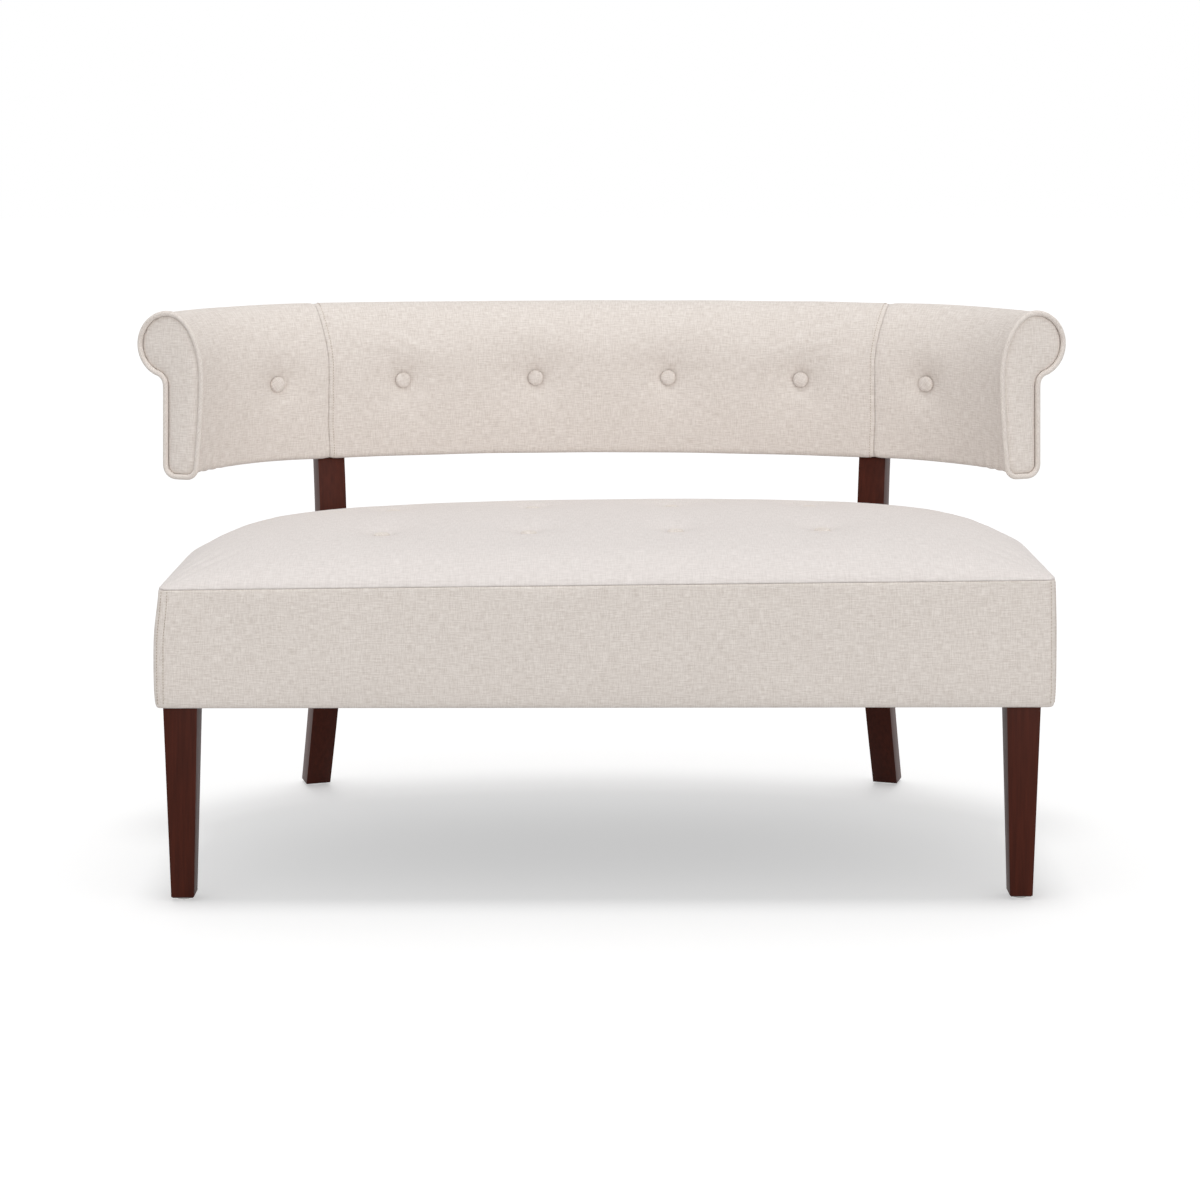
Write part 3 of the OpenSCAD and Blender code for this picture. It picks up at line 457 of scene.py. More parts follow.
oatmeal = linen("oatmealLinen", linenLook["pale"], linenLook["deep"], linenLook["thread"])
wood = espresso()
# The seat top gets its own copy of the linen, tinted cooler as painted light from above
seatTopLitLinen = linen("seatTopLitLinen", seatTopLitLinenLook["pale"], seatTopLitLinenLook["deep"], linenLook["thread"],
                  seatTopLitLinenLook["contrast"])
threadFinish = linen("sewingThread", threadLook["pale"], threadLook["deep"], threadLook["thread"])
finishes = {"espresso_wood": wood, "oatmeal_linen": oatmeal, "padded_linen": seatTopLitLinen,
            "frame_timber": rawTimber("frameTimber", "timber", (8, 8, 120)),
            "plywood": rawTimber("plywoodSheet", "plywood", (10, 60, 160)),
            "foam": foamFinish(), "plated_steel": steelFinish(), "twine": twineFinish(),
            "black_cloth": blackCloth()}
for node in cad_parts.values():
    for held in node.material_slots:
        held.material = finishes[held.material.name]
print("materials made")

# Seat top: crowned, tufted at eight buttons
seatTop = {"lean": 0.006, "sink": 0.001, "swell": 0.008, "swellFrom": 0.6, "pinch": 0.005,
           "pinchFrom": 0.7, "sideFall": 5, "endFall": 3, "fullness": 0.62, "columns": 236,
           "rows": 104, "padding": 0.0018, "cap": 0.007, "pressure": 3.0}
buttonX = [(k - 1.5) * tufts["pitch"] for k in range(4)]
buttonY = [frontY + tufts["frontRow"], frontY + tufts["frontRow"] + tufts["rowPitch"]]


def seatLean(x):
    # The seat stands a few millimetres lower at its left front corner than at its right
    return seatTop["lean"] * x / halfWidth - seatTop["sink"]


def sideSwell(x):
    # The right side is padded out a little further than the left
    return seatTop["swell"] * ease((x / halfWidth - seatTop["swellFrom"]) / (1 - seatTop["swellFrom"]))


def sidePinch(x):
    # The left side draws in at the top seam
    return seatTop["pinch"] * ease((-x / halfWidth - seatTop["pinchFrom"]) / (1 - seatTop["pinchFrom"]))


def crownShape(x, y):
    u = np.abs(x) / halfWidth
    v = np.abs(2 * (y - frontY) / (rearEdge(x) - frontY) - 1)
    fall = np.maximum(0, 1 - u ** seatTop["sideFall"]) * np.maximum(0, 1 - v ** seatTop["endFall"])
    return fall ** seatTop["fullness"]


def crownHeight(x, y):
    return seat["seamHeight"] + seat["crown"] * crownShape(x, y)


def tuftShape(distance):
    # A soft funnel that is flat only under the button
    beyond = distance - tufts["flat"]
    t = np.clip(beyond / (tufts["reach"] - tufts["flat"]), 0, 1)
    steep = np.exp(-np.maximum(0, beyond) / tufts["steep"]) * (1 - t) ** 2
    return tufts["share"] * steep + (1 - tufts["share"]) * (1 - t) ** 2 * (1 + 1.2 * t)


def seatPlace(u, v):
    straight = seat["rearRadius"] * math.sin(turn)
    arc = seat["cornerRadius"] * (math.pi / 2 - turn)
    length = (2 * u - 1) * (straight + arc)
    reach = np.abs(length)
    onCorner = cornerX + seat["cornerRadius"] * np.sin(turn + (reach - straight) / seat["cornerRadius"])
    x = np.sign(length) * np.where(reach <= straight, reach, np.minimum(onCorner, halfWidth - 1e-5))
    y = frontY + v * (rearEdge(x) - frontY)
    z = crownHeight(x, y)
    inset = seat["seamInset"]
    px = x * (halfWidth - inset) / halfWidth
    py = y + inset * (1 - 2 * v)
    # The two front corners are rounded like the band below them
    r = seat["cornerRounding"]
    besideX = np.abs(px) - (halfWidth - inset - r)
    besideY = frontY + inset + r - py
    over = np.where((besideX > 0) & (besideY > 0), np.maximum(1, np.hypot(besideX, besideY) / r), 1)
    px = np.where(over > 1, np.sign(px) * (halfWidth - inset - r + besideX / over), px)
    py = np.where(over > 1, frontY + inset + r - besideY / over, py)
    for bx in buttonX:
        for by in buttonY:
            w = tuftShape(np.hypot(x - bx, y - by))
            z = z * (1 - w) + (crownHeight(bx, by) - tufts["seatDepth"]) * w
    return px + sideSwell(x) + sidePinch(x), py, z + seatLean(x), x, y


seatPad, u, v = gridPiece("seatTopPad", seatTop["columns"], seatTop["rows"], seatPlace)
rim = atEnds(u) | atEnds(v)
sx, sy = spots(seatPad)[:, 0], spots(seatPad)[:, 1]
underButton = np.zeros(len(sx), dtype=bool)
for bx in buttonX:
    for by in buttonY:
        underButton |= np.hypot(sx - bx, sy - by) < tufts["held"]
fillOut(seatPad, rim | underButton, seatTop["cap"], seatTop["pressure"])
startEdit(seatPad, "DESELECT")
bpy.ops.mesh.select_mode(type="VERT")
bpy.ops.mesh.select_non_manifold()
bpy.ops.mesh.extrude_region_move(TRANSFORM_OT_translate={"value": (0, 0, -seatTop["padding"])})
bpy.ops.mesh.edge_face_add()
endEdit()
finishPiece(seatPad, seatTopLitLinen, ["seat_top_pad"])
print("seat top made")

# Seat sides: one band with two corner seams, its hem turned under the rails
band = {"columns": 620, "leftSeam": 0.0015, "rightSeam": 0.0075, "dip": 0.0016, "dipWidth": 0.0035,
        "coverInset": 0.0204, "slack": 0.0005, "uneven": 0.0006, "pinchFrom": 0.085,
        "pinchOver": 0.075, "leanOver": 0.16}
# How far in and how high above the seat's bottom: down the face, round the hem and up inside
bandSection = [(0.0024, 0.1620), (0.0018, 0.1606), (0.0011, 0.1570), (0.0007, 0.1450), (0.0004, 0.1300),
               (0, 0.1070), (0, 0.0770), (0.0002, 0.0470), (0.0010, 0.0220), (0.0022, 0.0080),
               (0.0036, 0.0020), (0.0060, 0.0001), (0.0090, 0.0000), (0.0200, 0.0000), (0.0200, 0.0018),
               (0.0082, 0.0020), (0.0080, 0.0080), (0.0080, 0.0820), (0.0080, 0.1600), (0.0078, 0.1620)]
hemRows = (12, 13, 14)   # the hem's first row and its two inner ones


def bend(centre, radius, first, last, count):
    ways = arc((0, 0), (1, 1), first, last, count)
    return np.hstack([np.array(centre) + radius * ways, ways])


def straight(start, end, way, count):
    return np.hstack([np.linspace(start, end, count), np.tile(way, (count, 1))])


def bandOutline(count):
    # Places and outward directions round the seat, from the middle of the rear and back to it
    r, quarter = seat["cornerRounding"], math.pi / 2
    half = np.concatenate([
        bend((0, rearY), seat["rearRadius"], quarter, quarter - turn, 700),
        bend((cornerX, cornerY), seat["cornerRadius"], quarter - turn, 0, 500)[1:],
        straight((halfWidth, cornerY), (halfWidth, frontY + r), (1, 0), 400)[1:],
        bend((halfWidth - r, frontY + r), r, 0, -quarter, 60)[1:],
        straight((halfWidth - r, frontY), (0, frontY), (0, -1), 800)[1:]])
    return evenSteps(np.concatenate([half, half[::-1][1:] * [-1, 1, -1, 1]]), count)


bandLine, bandRun = bandOutline(band["columns"])
frontMiddle = bandRun[-1] / 2
frontHalf = halfWidth - seat["cornerRounding"]
seamRuns = [frontMiddle - frontHalf - band["rightSeam"], frontMiddle + frontHalf + band["leftSeam"]]


def bandPoint(run, inset, height):
    x, y, nx, ny = (np.interp(run, bandRun, column) for column in bandLine.T)
    px = np.clip(x - inset * nx, -(halfWidth - inset), halfWidth - inset)
    py = np.maximum(y - inset * ny, frontY + inset)
    pinched = ease((height - seat["bottom"] - band["pinchFrom"]) / band["pinchOver"])
    return px + sideSwell(px) + sidePinch(px) * pinched, py


def leanAt(x, height):
    # The seat's lean fades out towards its level bottom
    return seatLean(x) * ease((height - seat["bottom"]) / band["leanOver"])


def bandPlace(u, v):
    rows = len(bandSection)
    k = np.rint(v * rows).astype(int) % rows
    inset, height = np.array(bandSection)[k].T
    height = seat["bottom"] + height
    run = u * bandRun[-1]
    for seamRun in seamRuns:
        dip = band["dip"] * np.exp(-((run - seamRun) / band["dipWidth"]) ** 2)
        inset = inset + np.where(k < hemRows[0], dip, 0)
    # The turned hem follows the edge of the dust cover round the rear corners
    across, nx, ny = (np.interp(run, bandRun, bandLine[:, q]) for q in (0, 2, 3))
    shortfall = band["coverInset"] * (np.abs(nx * across) / halfWidth + ny - 1)
    inset = inset + np.where(np.isin(k, hemRows[1:]) & (ny > 0), np.maximum(0, shortfall), 0)
    face = np.where((k > 1) & (k < 11), 1.0, 0.0)
    inset = inset + face * (band["slack"] - band["uneven"] * waves(run, height * 1.5, 4, 0.16))
    x, y = bandPoint(run, inset, height)
    return x, y, height + leanAt(x, height), run, height + 0.3


seatBand = gridPiece("seatSideCover", band["columns"], len(bandSection), bandPlace)[0]
outward(seatBand)
applyModifier(seatBand, "SUBSURF", levels=1, render_levels=1)
finishPiece(seatBand, oatmeal, ["seat_side_cover"])

# The seat's foam block, under the pad
foamBlock = {"bottom": 0.3674, "top": 0.4178, "inset": 0.0084, "count": 260}
clearSelection()
bpy.ops.mesh.primitive_circle_add(vertices=foamBlock["count"], radius=1, fill_type="NGON")
seatFoam = named("seatFoamBlock")
places = spots(seatFoam)
run = np.linspace(0, bandRun[-1], foamBlock["count"], endpoint=False)
fx, fy = bandPoint(run, np.full(foamBlock["count"], foamBlock["inset"]), foamBlock["bottom"])
moveTo(seatFoam, np.stack([fx, fy, np.full_like(fx, foamBlock["bottom"])], axis=1))
startEdit(seatFoam)
bpy.ops.mesh.extrude_region_move(
    TRANSFORM_OT_translate={"value": (0, 0, foamBlock["top"] - foamBlock["bottom"])})
endEdit()
outward(seatFoam)
places = spots(seatFoam)
onTop = places[:, 2] > (foamBlock["bottom"] + foamBlock["top"]) / 2
places[:, 2] += np.where(onTop, seatLean(places[:, 0]), 0)
moveTo(seatFoam, places)
finishPiece(seatFoam, finishes["foam"], ["seat_foam"])
print("seat sides made")

# Back: three panels over the face and the roll
backPanels = {"cell": 0.0046, "rows": 100, "cap": 0.004, "pressure": 1.8, "cover": 0.0038,
              "seamWidth": 0.005, "seamGap": 0.0001, "tuftsOver": 0.05, "tuftsIn": 0.03,
              "uneven": 0.0004, "calm": 0.03, "heldBelow": 0.1, "faceShare": 0.7}
gathers = {"at": 0.615, "along": 0.028, "up": 0.022, "depth": 0.0017, "pitch": 0.0185}
buttonAt = [-tufts["wing"]] + buttonX + [tufts["wing"]]


def faceLine(z):
    rise = (z - back["bottom"] - back["edgeRound"]) / (back["fullest"] - back["edgeRound"])
    return -back["swell"] * np.sin(math.pi / 2 * np.clip(rise, 0, 1))


def backContour():
    # Section from the hem, round the lower edge, up the face and over the roll to the neck
    e, low, roll = back["edgeRound"], back["bottom"], back["rollCentre"]
    face = np.linspace(low + e, crownZ, 60)[1:]
    line = np.concatenate([
        np.linspace((back["hemEnd"], low), (e, low), 12),
        arc((e, low + e), (e, e), 1.5 * math.pi, math.pi, 14)[1:],
        np.stack([faceLine(face), face], axis=1),
        arc((roll, crownZ), (roll + back["swell"], back["top"] - crownZ), math.pi, math.pi / 2, 60)[1:],
        arc((roll, rollZ), (back["rollRadius"],) * 2, math.pi / 2, outerNeck, 80)[1:]])
    return *line.T, runOf(line)


contourR, contourZ, contourRun = backContour()
contourNr = -np.gradient(contourZ, contourRun)
contourNz = np.gradient(contourR, contourRun)
hemRun = back["hemEnd"] - back["edgeRound"] + back["edgeRound"] * math.pi / 2
seamPath = {"inwards": 0.024, "topIn": 0.0126, "lowIn": 0.003, "lowReach": 0.05, "topShort": 0.01}
crownRun = float(np.interp(crownZ, contourZ[:90], contourRun[:90]))
topRun = float(contourRun[np.argmax(contourZ)]) - seamPath["topShort"]
buttonSeat = float(faceLine(buttonZ)) + tufts["backDepth"]


def backPoint(distance, run, sink=0.0):
    r = np.interp(run, contourRun, contourR) - sink * np.interp(run, contourRun, contourNr)
    z = np.interp(run, contourRun, contourZ) - sink * np.interp(run, contourRun, contourNz)
    x, y = planPoint(backAngle(distance), back["gap"] + r)
    return x, y, z


def backSink(distance, run, first, last):
    # How far the cover sinks: at its seams, its buttons and the gathers by the arms
    z = np.interp(run, contourRun, contourZ)
    r = np.interp(run, contourRun, contourR)
    sink = np.zeros_like(run)
    for edge in (first, last):
        sink = sink + back["seamDip"] * np.exp(-((distance - edge) / backPanels["seamWidth"]) ** 2)
    onFace = (run > hemRun) & (z < crownZ + backPanels["tuftsOver"]) & (r < backPanels["tuftsIn"])
    for b in buttonAt:
        w = np.where(onFace, tuftShape(np.hypot(distance - b, (z - buttonZ) * 0.92)), 0)
        sink = sink * (1 - w) + (buttonSeat - r) * w
    reach = np.abs(distance)
    gather = (np.exp(-((reach - gathers["at"]) / gathers["along"]) ** 2)
              * np.exp(-((run - hemRun) / gathers["up"]) ** 2))
    sink = sink + gather * gathers["depth"] * np.sin(reach * math.tau / gathers["pitch"])
    calm = ease(run / backPanels["calm"]) * ease((contourRun[-1] - run) / backPanels["calm"])
    return sink + backPanels["uneven"] * calm * waves(distance, run, 9, 0.13)


def seamBow(distance, run):
    # The two seams lie a little inwards on the face and run outwards over the roll
    over = ease((run - crownRun) / (topRun - crownRun))
    low = 1 - ease((run - hemRun) / seamPath["lowReach"])
    shift = (seamPath["topIn"] * over + seamPath["inwards"] * (1 - over)
             + seamPath["lowIn"] * low * (1 - over))
    near = np.where(np.abs(np.abs(distance) - turnLength) < 0.001, 1.0, 0.0)
    return distance - np.sign(distance) * near * shift


def backPanel(name, first, last, node):
    columns = int(round((last - first) / backPanels["cell"]))

    def along(u, v):
        run = v * contourRun[-1]
        start, end = seamBow(first, run), seamBow(last, run)
        return start + (end - start) * u, run, start, end

    def place(u, v):
        distance, run, start, end = along(u, v)
        return *backPoint(distance, run, backSink(distance, run, start, end)), distance, run

    panel, u, v = gridPiece(name, columns, backPanels["rows"], place)
    distance = along(u, v)[0]
    z = spots(panel)[:, 2]
    heldHere = atEnds(u) | atEnds(v) | (v < backPanels["heldBelow"])
    for b in buttonAt:
        heldHere |= (np.hypot(distance - b, z - buttonZ) < tufts["held"]) & (v < backPanels["faceShare"])
    fillOut(panel, heldHere, backPanels["cap"], backPanels["pressure"])
    applyModifier(panel, "SUBSURF", levels=1, render_levels=1)
    applyModifier(panel, "SOLIDIFY", thickness=backPanels["cover"], offset=-1)
    return finishPiece(panel, oatmeal, [node])


inner, outer = turnLength - backPanels["seamGap"], turnLength + backPanels["seamGap"]
backPanel("backPanelMiddle", -inner, inner, "back_cover_middle")
backPanel("backPanelLeft", -back["armLength"], -outer, "back_cover_left")
backPanel("backPanelRight", outer, back["armLength"], "back_cover_right")
print("back panels made")

# Wadding and foam under the panels, and the roll's core
wadding = {"front": 0.0046, "rear": 0.0232, "low": 0.5202, "high": 0.6650, "length": 0.6444,
           "belly": 0.0065, "bellyFrom": 0.538, "bellyOver": 0.04, "buttonBand": 0.05,
           "behindButtons": 0.0045}
core = {"across": 0.0485, "down": 0.001, "radius": 0.0385, "sink": 0.006, "length": 0.6444}


def sweptPiece(name, section, length, columns):
    # A closed section carried along the back, its ends filled
    section = np.array(section)
    count = len(section)

    def place(u, v):
        k = np.rint(v * count).astype(int) % count
        distance = (2 * u - 1) * length
        x, y = planPoint(backAngle(distance), back["gap"] + section[k, 0])
        return x, y, section[k, 1], distance, v * 0.4

    piece = gridPiece(name, columns, count, place)[0]
    outward(piece)
    startEdit(piece)
    bpy.ops.mesh.fill_holes(sides=0)
    endEdit()
    outward(piece)
    return piece


def waddingFront(z):
    # Behind the cover's face, drawn back a little further where the buttons pull
    belly = ease((z - wadding["bellyFrom"]) / wadding["bellyOver"])
    r = max(float(faceLine(z)) + wadding["front"], wadding["front"] - wadding["belly"] * belly)
    if abs(z - buttonZ) > wadding["buttonBand"]:
        return r
    return max(r, buttonSeat + wadding["behindButtons"])


levels = np.linspace(wadding["low"], wadding["high"], 20)
section = [(waddingFront(z), z) for z in levels] + [(wadding["rear"], z) for z in levels[::-1]]
waddingPiece = sweptPiece("backWadding", section, wadding["length"], 180)
finishPiece(waddingPiece, finishes["foam"], ["back_foam"])
flatAt = math.asin((core["radius"] - core["sink"]) / core["radius"])
section = arc((core["across"], rollZ - core["down"]), (core["radius"],) * 2, -flatAt, math.pi + flatAt, 30)
corePiece = sweptPiece("rollCore", section, core["length"], 180)
finishPiece(corePiece, finishes["foam"], ["roll_foam"])
print("padding made")

# Outside back: a plain panel blind-stitched under the roll
outside = {"columns": 230, "rows": 26, "thickness": 0.0036, "hem": 0.018, "round": 0.003,
           "roundWidth": 0.004, "slim": 0.003, "slimFrom": 0.57, "slimOver": 0.08, "uneven": 0.0004,
           "calm": 0.03}
neckZ = rollZ + back["rollRadius"] * math.sin(outerNeck)


def outsidePlace(u, v):
    distance = (2 * u - 1) * back["armLength"]
    low, hem = back["bottom"], outside["hem"]
    total = hem + (neckZ - low)
    run = v * total
    rounded = outside["round"] * np.exp(-((run - hem) / outside["roundWidth"]) ** 2)
    r = back["thickness"] - np.maximum(0, hem - run) - rounded * 0.7
    z = low + np.maximum(0, run - hem) + rounded * 0.5
    r = r - outside["slim"] * ease((np.abs(distance) - outside["slimFrom"]) / outside["slimOver"])
    calm = ease((run - hem) / outside["calm"]) * ease((total - run) / outside["calm"])
    r = r - outside["uneven"] * calm * (1 + waves(distance, z, 21, 0.15))
    x, y = planPoint(backAngle(distance), back["gap"] + r)
    return x, y, z, -distance, run


outsideBack = gridPiece("outsideBackPanel", outside["columns"], outside["rows"], outsidePlace)[0]
turnInsideOut(outsideBack)
applyModifier(outsideBack, "SOLIDIFY", thickness=outside["thickness"], offset=-1)
applyModifier(outsideBack, "SUBSURF", levels=1, render_levels=1)
finishPiece(outsideBack, oatmeal, ["outside_back_cover"])
print("outside back made")

# Arm ends: a padded facing inside a welt
armEnd = {"slim": 0.003, "inset": 0.0022, "drop": 0.0055, "edge": 0.0004, "crown": 0.0046,
          "crownWidth": 0.0042, "crownPower": 1.8, "uneven": 0.0004, "calm": 0.015, "held": 0.003,
          "cloth": 0.0004, "cell": 0.006, "cutAcross": (-0.01, 0.10), "cutUpwards": (0.50, 0.755),
          "cap": 0.0012, "pressure": 3.0, "frontRound": 0.016, "rearRound": 0.018, "neck": 0.016,
          "points": 220, "weltRadius": 0.0039, "weltInset": 0.0008, "weltLift": 0.0042,
          "weltPoints": 260, "weltSides": 12}
armAngle = float(backAngle(back["armLength"]))


def scrollOutline(inset, count):
    # The arm end's outline in section, drawn in by an inset and evenly spaced
    e, rear = armEnd["frontRound"] - inset, armEnd["rearRound"] - inset
    outerR = back["thickness"] - armEnd["slim"] - inset
    floorZ = back["bottom"] - armEnd["drop"] + inset
    foot = floorZ + e
    small = back["rollRadius"] - inset
    low = -math.acos((outerR - back["rollCentre"]) / small)
    corner = np.array([outerR, rollZ + small * math.sin(low)])
    start = corner - [0, armEnd["neck"] + inset]
    bent = low + armEnd["neck"] / small
    roll = back["rollCentre"]
    onRoll = arc((roll, rollZ), (small, small), bent, math.pi / 2, 90)
    t = np.linspace(0, 1, 24)[:-1, None]
    face = np.linspace(crownZ, foot, 50)[1:]
    line, run = evenSteps(np.concatenate([
        arc((inset + e, foot), (e, e), math.pi, 1.5 * math.pi, 20),
        arc((outerR - rear, floorZ + rear), (rear, rear), 1.5 * math.pi, math.tau, 20),
        (1 - t) ** 2 * start + 2 * t * (1 - t) * corner + t * t * onRoll[0],
        onRoll,
        arc((roll, crownZ), (roll + back["swell"] - inset, back["top"] - inset - crownZ),
            math.pi / 2, math.pi, 60)[1:],
        np.stack([faceLine(face) + inset, face], axis=1)]), count)
    return line[:-1], run[-1]


def armPoint(side, r, z, lift):
    px, py = planPoint(armAngle, back["gap"])
    nx, ny = math.sin(armAngle), math.cos(armAngle)
    tx, ty = math.cos(armAngle), -math.sin(armAngle)
    x = px + r * nx + lift * tx
    y = py + r * ny + lift * ty
    return np.stack([side * x, y, z], axis=1)


def facing(side, name, node):
    outline = scrollOutline(armEnd["inset"], armEnd["points"])[0]
    clearSelection()
    bpy.ops.mesh.primitive_circle_add(vertices=armEnd["points"], radius=1, fill_type="NGON")
    piece = named(name)
    moveTo(piece, np.pad(outline, ((0, 0), (0, 1))))
    startEdit(piece)
    for axis, cuts in enumerate((armEnd["cutAcross"], armEnd["cutUpwards"])):
        for at in np.arange(*cuts, armEnd["cell"]):
            bpy.ops.mesh.select_all(action="SELECT")
            spot, normal = [0, 0, 0], [0, 0, 0]
            spot[axis], normal[axis] = float(at), 1
            bpy.ops.mesh.bisect(plane_co=spot, plane_no=normal)
    endEdit()
    flat = spots(piece)
    gap = np.full(len(flat), math.inf)
    closed = np.vstack([outline, outline[:1]])
    for k in range(len(outline)):
        a, b = closed[k], closed[k + 1]
        t = np.clip(((flat[:, :2] - a) @ (b - a)) / ((b - a) @ (b - a)), 0, 1)
        gap = np.minimum(gap, np.linalg.norm(flat[:, :2] - a - t[:, None] * (b - a), axis=1))
    full = 1 - np.exp(-(gap / armEnd["crownWidth"]) ** armEnd["crownPower"])
    lift = armEnd["edge"] + (armEnd["crown"] - armEnd["edge"]) * full
    uneven = armEnd["uneven"] * waves(flat[:, 0] + side, flat[:, 1], 31, 0.07)
    lift = lift + uneven * ease(gap / armEnd["calm"])
    addCloth(piece, flat[:, 0], flat[:, 1])
    moveTo(piece, armPoint(side, flat[:, 0], flat[:, 1], lift))
    if side < 0:
        turnInsideOut(piece)
    piece.data.shade_smooth()
    fillOut(piece, gap < armEnd["held"], armEnd["cap"], armEnd["pressure"])
    applyModifier(piece, "SOLIDIFY", thickness=armEnd["cloth"], offset=-1)
    return finishPiece(piece, oatmeal, [node])


def ringPiece(name, path, normalsOut, sideways, radius, sides):
    # A torus primitive whose rings are carried along a closed path
    count = len(path)
    clearSelection()
    bpy.ops.mesh.primitive_torus_add(major_segments=count, minor_segments=sides,
                                     major_radius=1, minor_radius=0.25)
    piece = named(name)
    flat = spots(piece)
    major = np.rint(np.arctan2(flat[:, 1], flat[:, 0]) / math.tau * count).astype(int) % count
    minor = np.arctan2(flat[:, 2], np.hypot(flat[:, 0], flat[:, 1]) - 1)
    places = (path[major] + radius * np.cos(minor)[:, None] * normalsOut[major]
              + radius * np.sin(minor)[:, None] * sideways[major])
    moveTo(piece, places)
    return piece, major, minor


def welt(side, name, node):
    outline, length = scrollOutline(armEnd["weltInset"], armEnd["weltPoints"])
    ahead = np.roll(outline, -1, axis=0) - np.roll(outline, 1, axis=0)
    ahead = ahead / np.linalg.norm(ahead, axis=1)[:, None]
    out = np.stack([ahead[:, 1], -ahead[:, 0]], axis=1)
    path = armPoint(side, *outline.T, armEnd["weltLift"])
    tip = armPoint(side, *(outline + out).T, armEnd["weltLift"])
    proud = armPoint(side, *outline.T, armEnd["weltLift"] + 1)
    piece, major, minor = ringPiece(name, path, tip - path, proud - path, armEnd["weltRadius"],
                                    armEnd["weltSides"])
    run = np.arange(armEnd["weltPoints"]) / armEnd["weltPoints"] * length
    addCloth(piece, run[major] + minor * armEnd["weltRadius"], minor * armEnd["weltRadius"] - run[major])
    outward(piece)
    piece.data.shade_smooth()
    return finishPiece(piece, oatmeal, [node])


for side, word, place in ((-1, "Left", "left"), (1, "Right", "right")):
    facing(side, "armFacing" + word, "arm_facing_" + place)
    welt(side, "armWelt" + word, "arm_welt_" + place)
print("arm ends made")

# Covered buttons, with small gathers round the rim
buttonLook = {"segments": 40, "rings": 18, "gathers": 11, "gather": 0.00016, "rim": 0.92,
              "rimWidth": 0.14, "below": 0.20, "seatProud": 0.0010, "backSunk": 0.0018}


def coveredButton(name, centre, pointing, across, twist):
    clearSelection()
    bpy.ops.mesh.primitive_uv_sphere_add(segments=buttonLook["segments"], ring_count=buttonLook["rings"],
                                         radius=1, calc_uvs=False)
    piece = named(name)
    flat = spots(piece)
    turnAt = np.arctan2(flat[:, 1], flat[:, 0])
    level = flat[:, 2]
    reach = np.maximum(0, 1 - np.abs(level) ** 3) ** (1 / 3)
    below = buttonLook["below"]
    rise = below + np.where(level >= 0, 1 - below, below) * level
    ripple = (np.exp(-((reach - buttonLook["rim"]) / buttonLook["rimWidth"]) ** 2)
              * np.sin(turnAt * buttonLook["gathers"] + 7 * twist))
    local = np.stack([reach * np.cos(turnAt) * tufts["button"] / 2,
                      reach * np.sin(turnAt) * tufts["button"] / 2,
                      rise * tufts["height"] + ripple * buttonLook["gather"]], axis=1)
    up = np.array(pointing) / np.linalg.norm(pointing)
    sideways = np.array(across) / np.linalg.norm(across)
    third = np.cross(up, sideways)
    addCloth(piece, local[:, 0] * math.cos(twist) - local[:, 1] * math.sin(twist) + twist,
             local[:, 0] * math.sin(twist) + local[:, 1] * math.cos(twist))
    moveTo(piece, np.array(centre) + local[:, :1] * sideways + local[:, 1:2] * third + local[:, 2:] * up)
    piece.data.shade_smooth()
    return piece


def joined(pieces, name):
    clearSelection()
    for piece in pieces:
        piece.select_set(True)
    bpy.context.view_layer.objects.active = pieces[0]
    bpy.ops.object.join()
    pieces[0].name = name
    pieces[0].data.name = name
    return pieces[0]


made = []
for row, by in enumerate(buttonY):
    for k, bx in enumerate(buttonX):
        z = float(crownHeight(bx, by)) + seatLean(bx) - tufts["seatDepth"]
        made.append(coveredButton("seatButton", (bx, by, z + buttonLook["seatProud"]),
                                  (0, 0, 1), (1, 0, 0), 0.3 * k + 0.2 * row - 0.5))
finishPiece(joined(made, "seatButtons"), oatmeal, ["seat_buttons"])
made = []
for k, b in enumerate(buttonAt):
    angle = float(backAngle(b))
    px, py = planPoint(angle, back["gap"] + buttonSeat - buttonLook["backSunk"])
    made.append(coveredButton("backButton", (float(px), float(py), buttonZ),
                              (-math.sin(angle), -math.cos(angle), 0),
                              (math.cos(angle), -math.sin(angle), 0), 0.25 * k - 0.6))
finishPiece(joined(made, "backButtons"), oatmeal, ["back_buttons"])
print("buttons made")

# Top stitching
stitchLook = {"pitch": 0.0040, "length": 0.0028, "radius": 0.00042, "offset": 0.0062, "proud": 0.0001,
              "backStart": 0.012, "backEnd": 0.05, "cornerOffset": 0.0045, "cornerStart": 0.004,
              "cornerLength": 0.155}


def stitchRow(name, places, ways, ups):
    # One small stitch, copied along a row
    clearSelection()
    bpy.ops.mesh.primitive_uv_sphere_add(segments=6, ring_count=4, radius=1, calc_uvs=False)
    piece = named(name)
    flat = spots(piece)
    faces = [list(face.vertices) for face in piece.data.polygons]
    allSpots, allFaces = [], []
    for place, way, up in zip(places, ways, ups):
        sidewards = np.cross(up, way)
        start = len(allSpots) * len(flat)
        allSpots.append(place + flat[:, :1] * sidewards * stitchLook["radius"]
                        + flat[:, 1:2] * way * stitchLook["length"] / 2
                        + flat[:, 2:] * up * stitchLook["radius"])
        allFaces += [[start + k for k in face] for face in faces]
    mesh = bpy.data.meshes.new(name)
    mesh.from_pydata(np.concatenate(allSpots).tolist(), [], allFaces)
    old = piece.data
    piece.data = mesh
    bpy.data.meshes.remove(old)
    addCloth(piece, spots(piece)[:, 0], spots(piece)[:, 2])
    piece.data.shade_smooth()
    return finishPiece(piece, threadFinish, [])


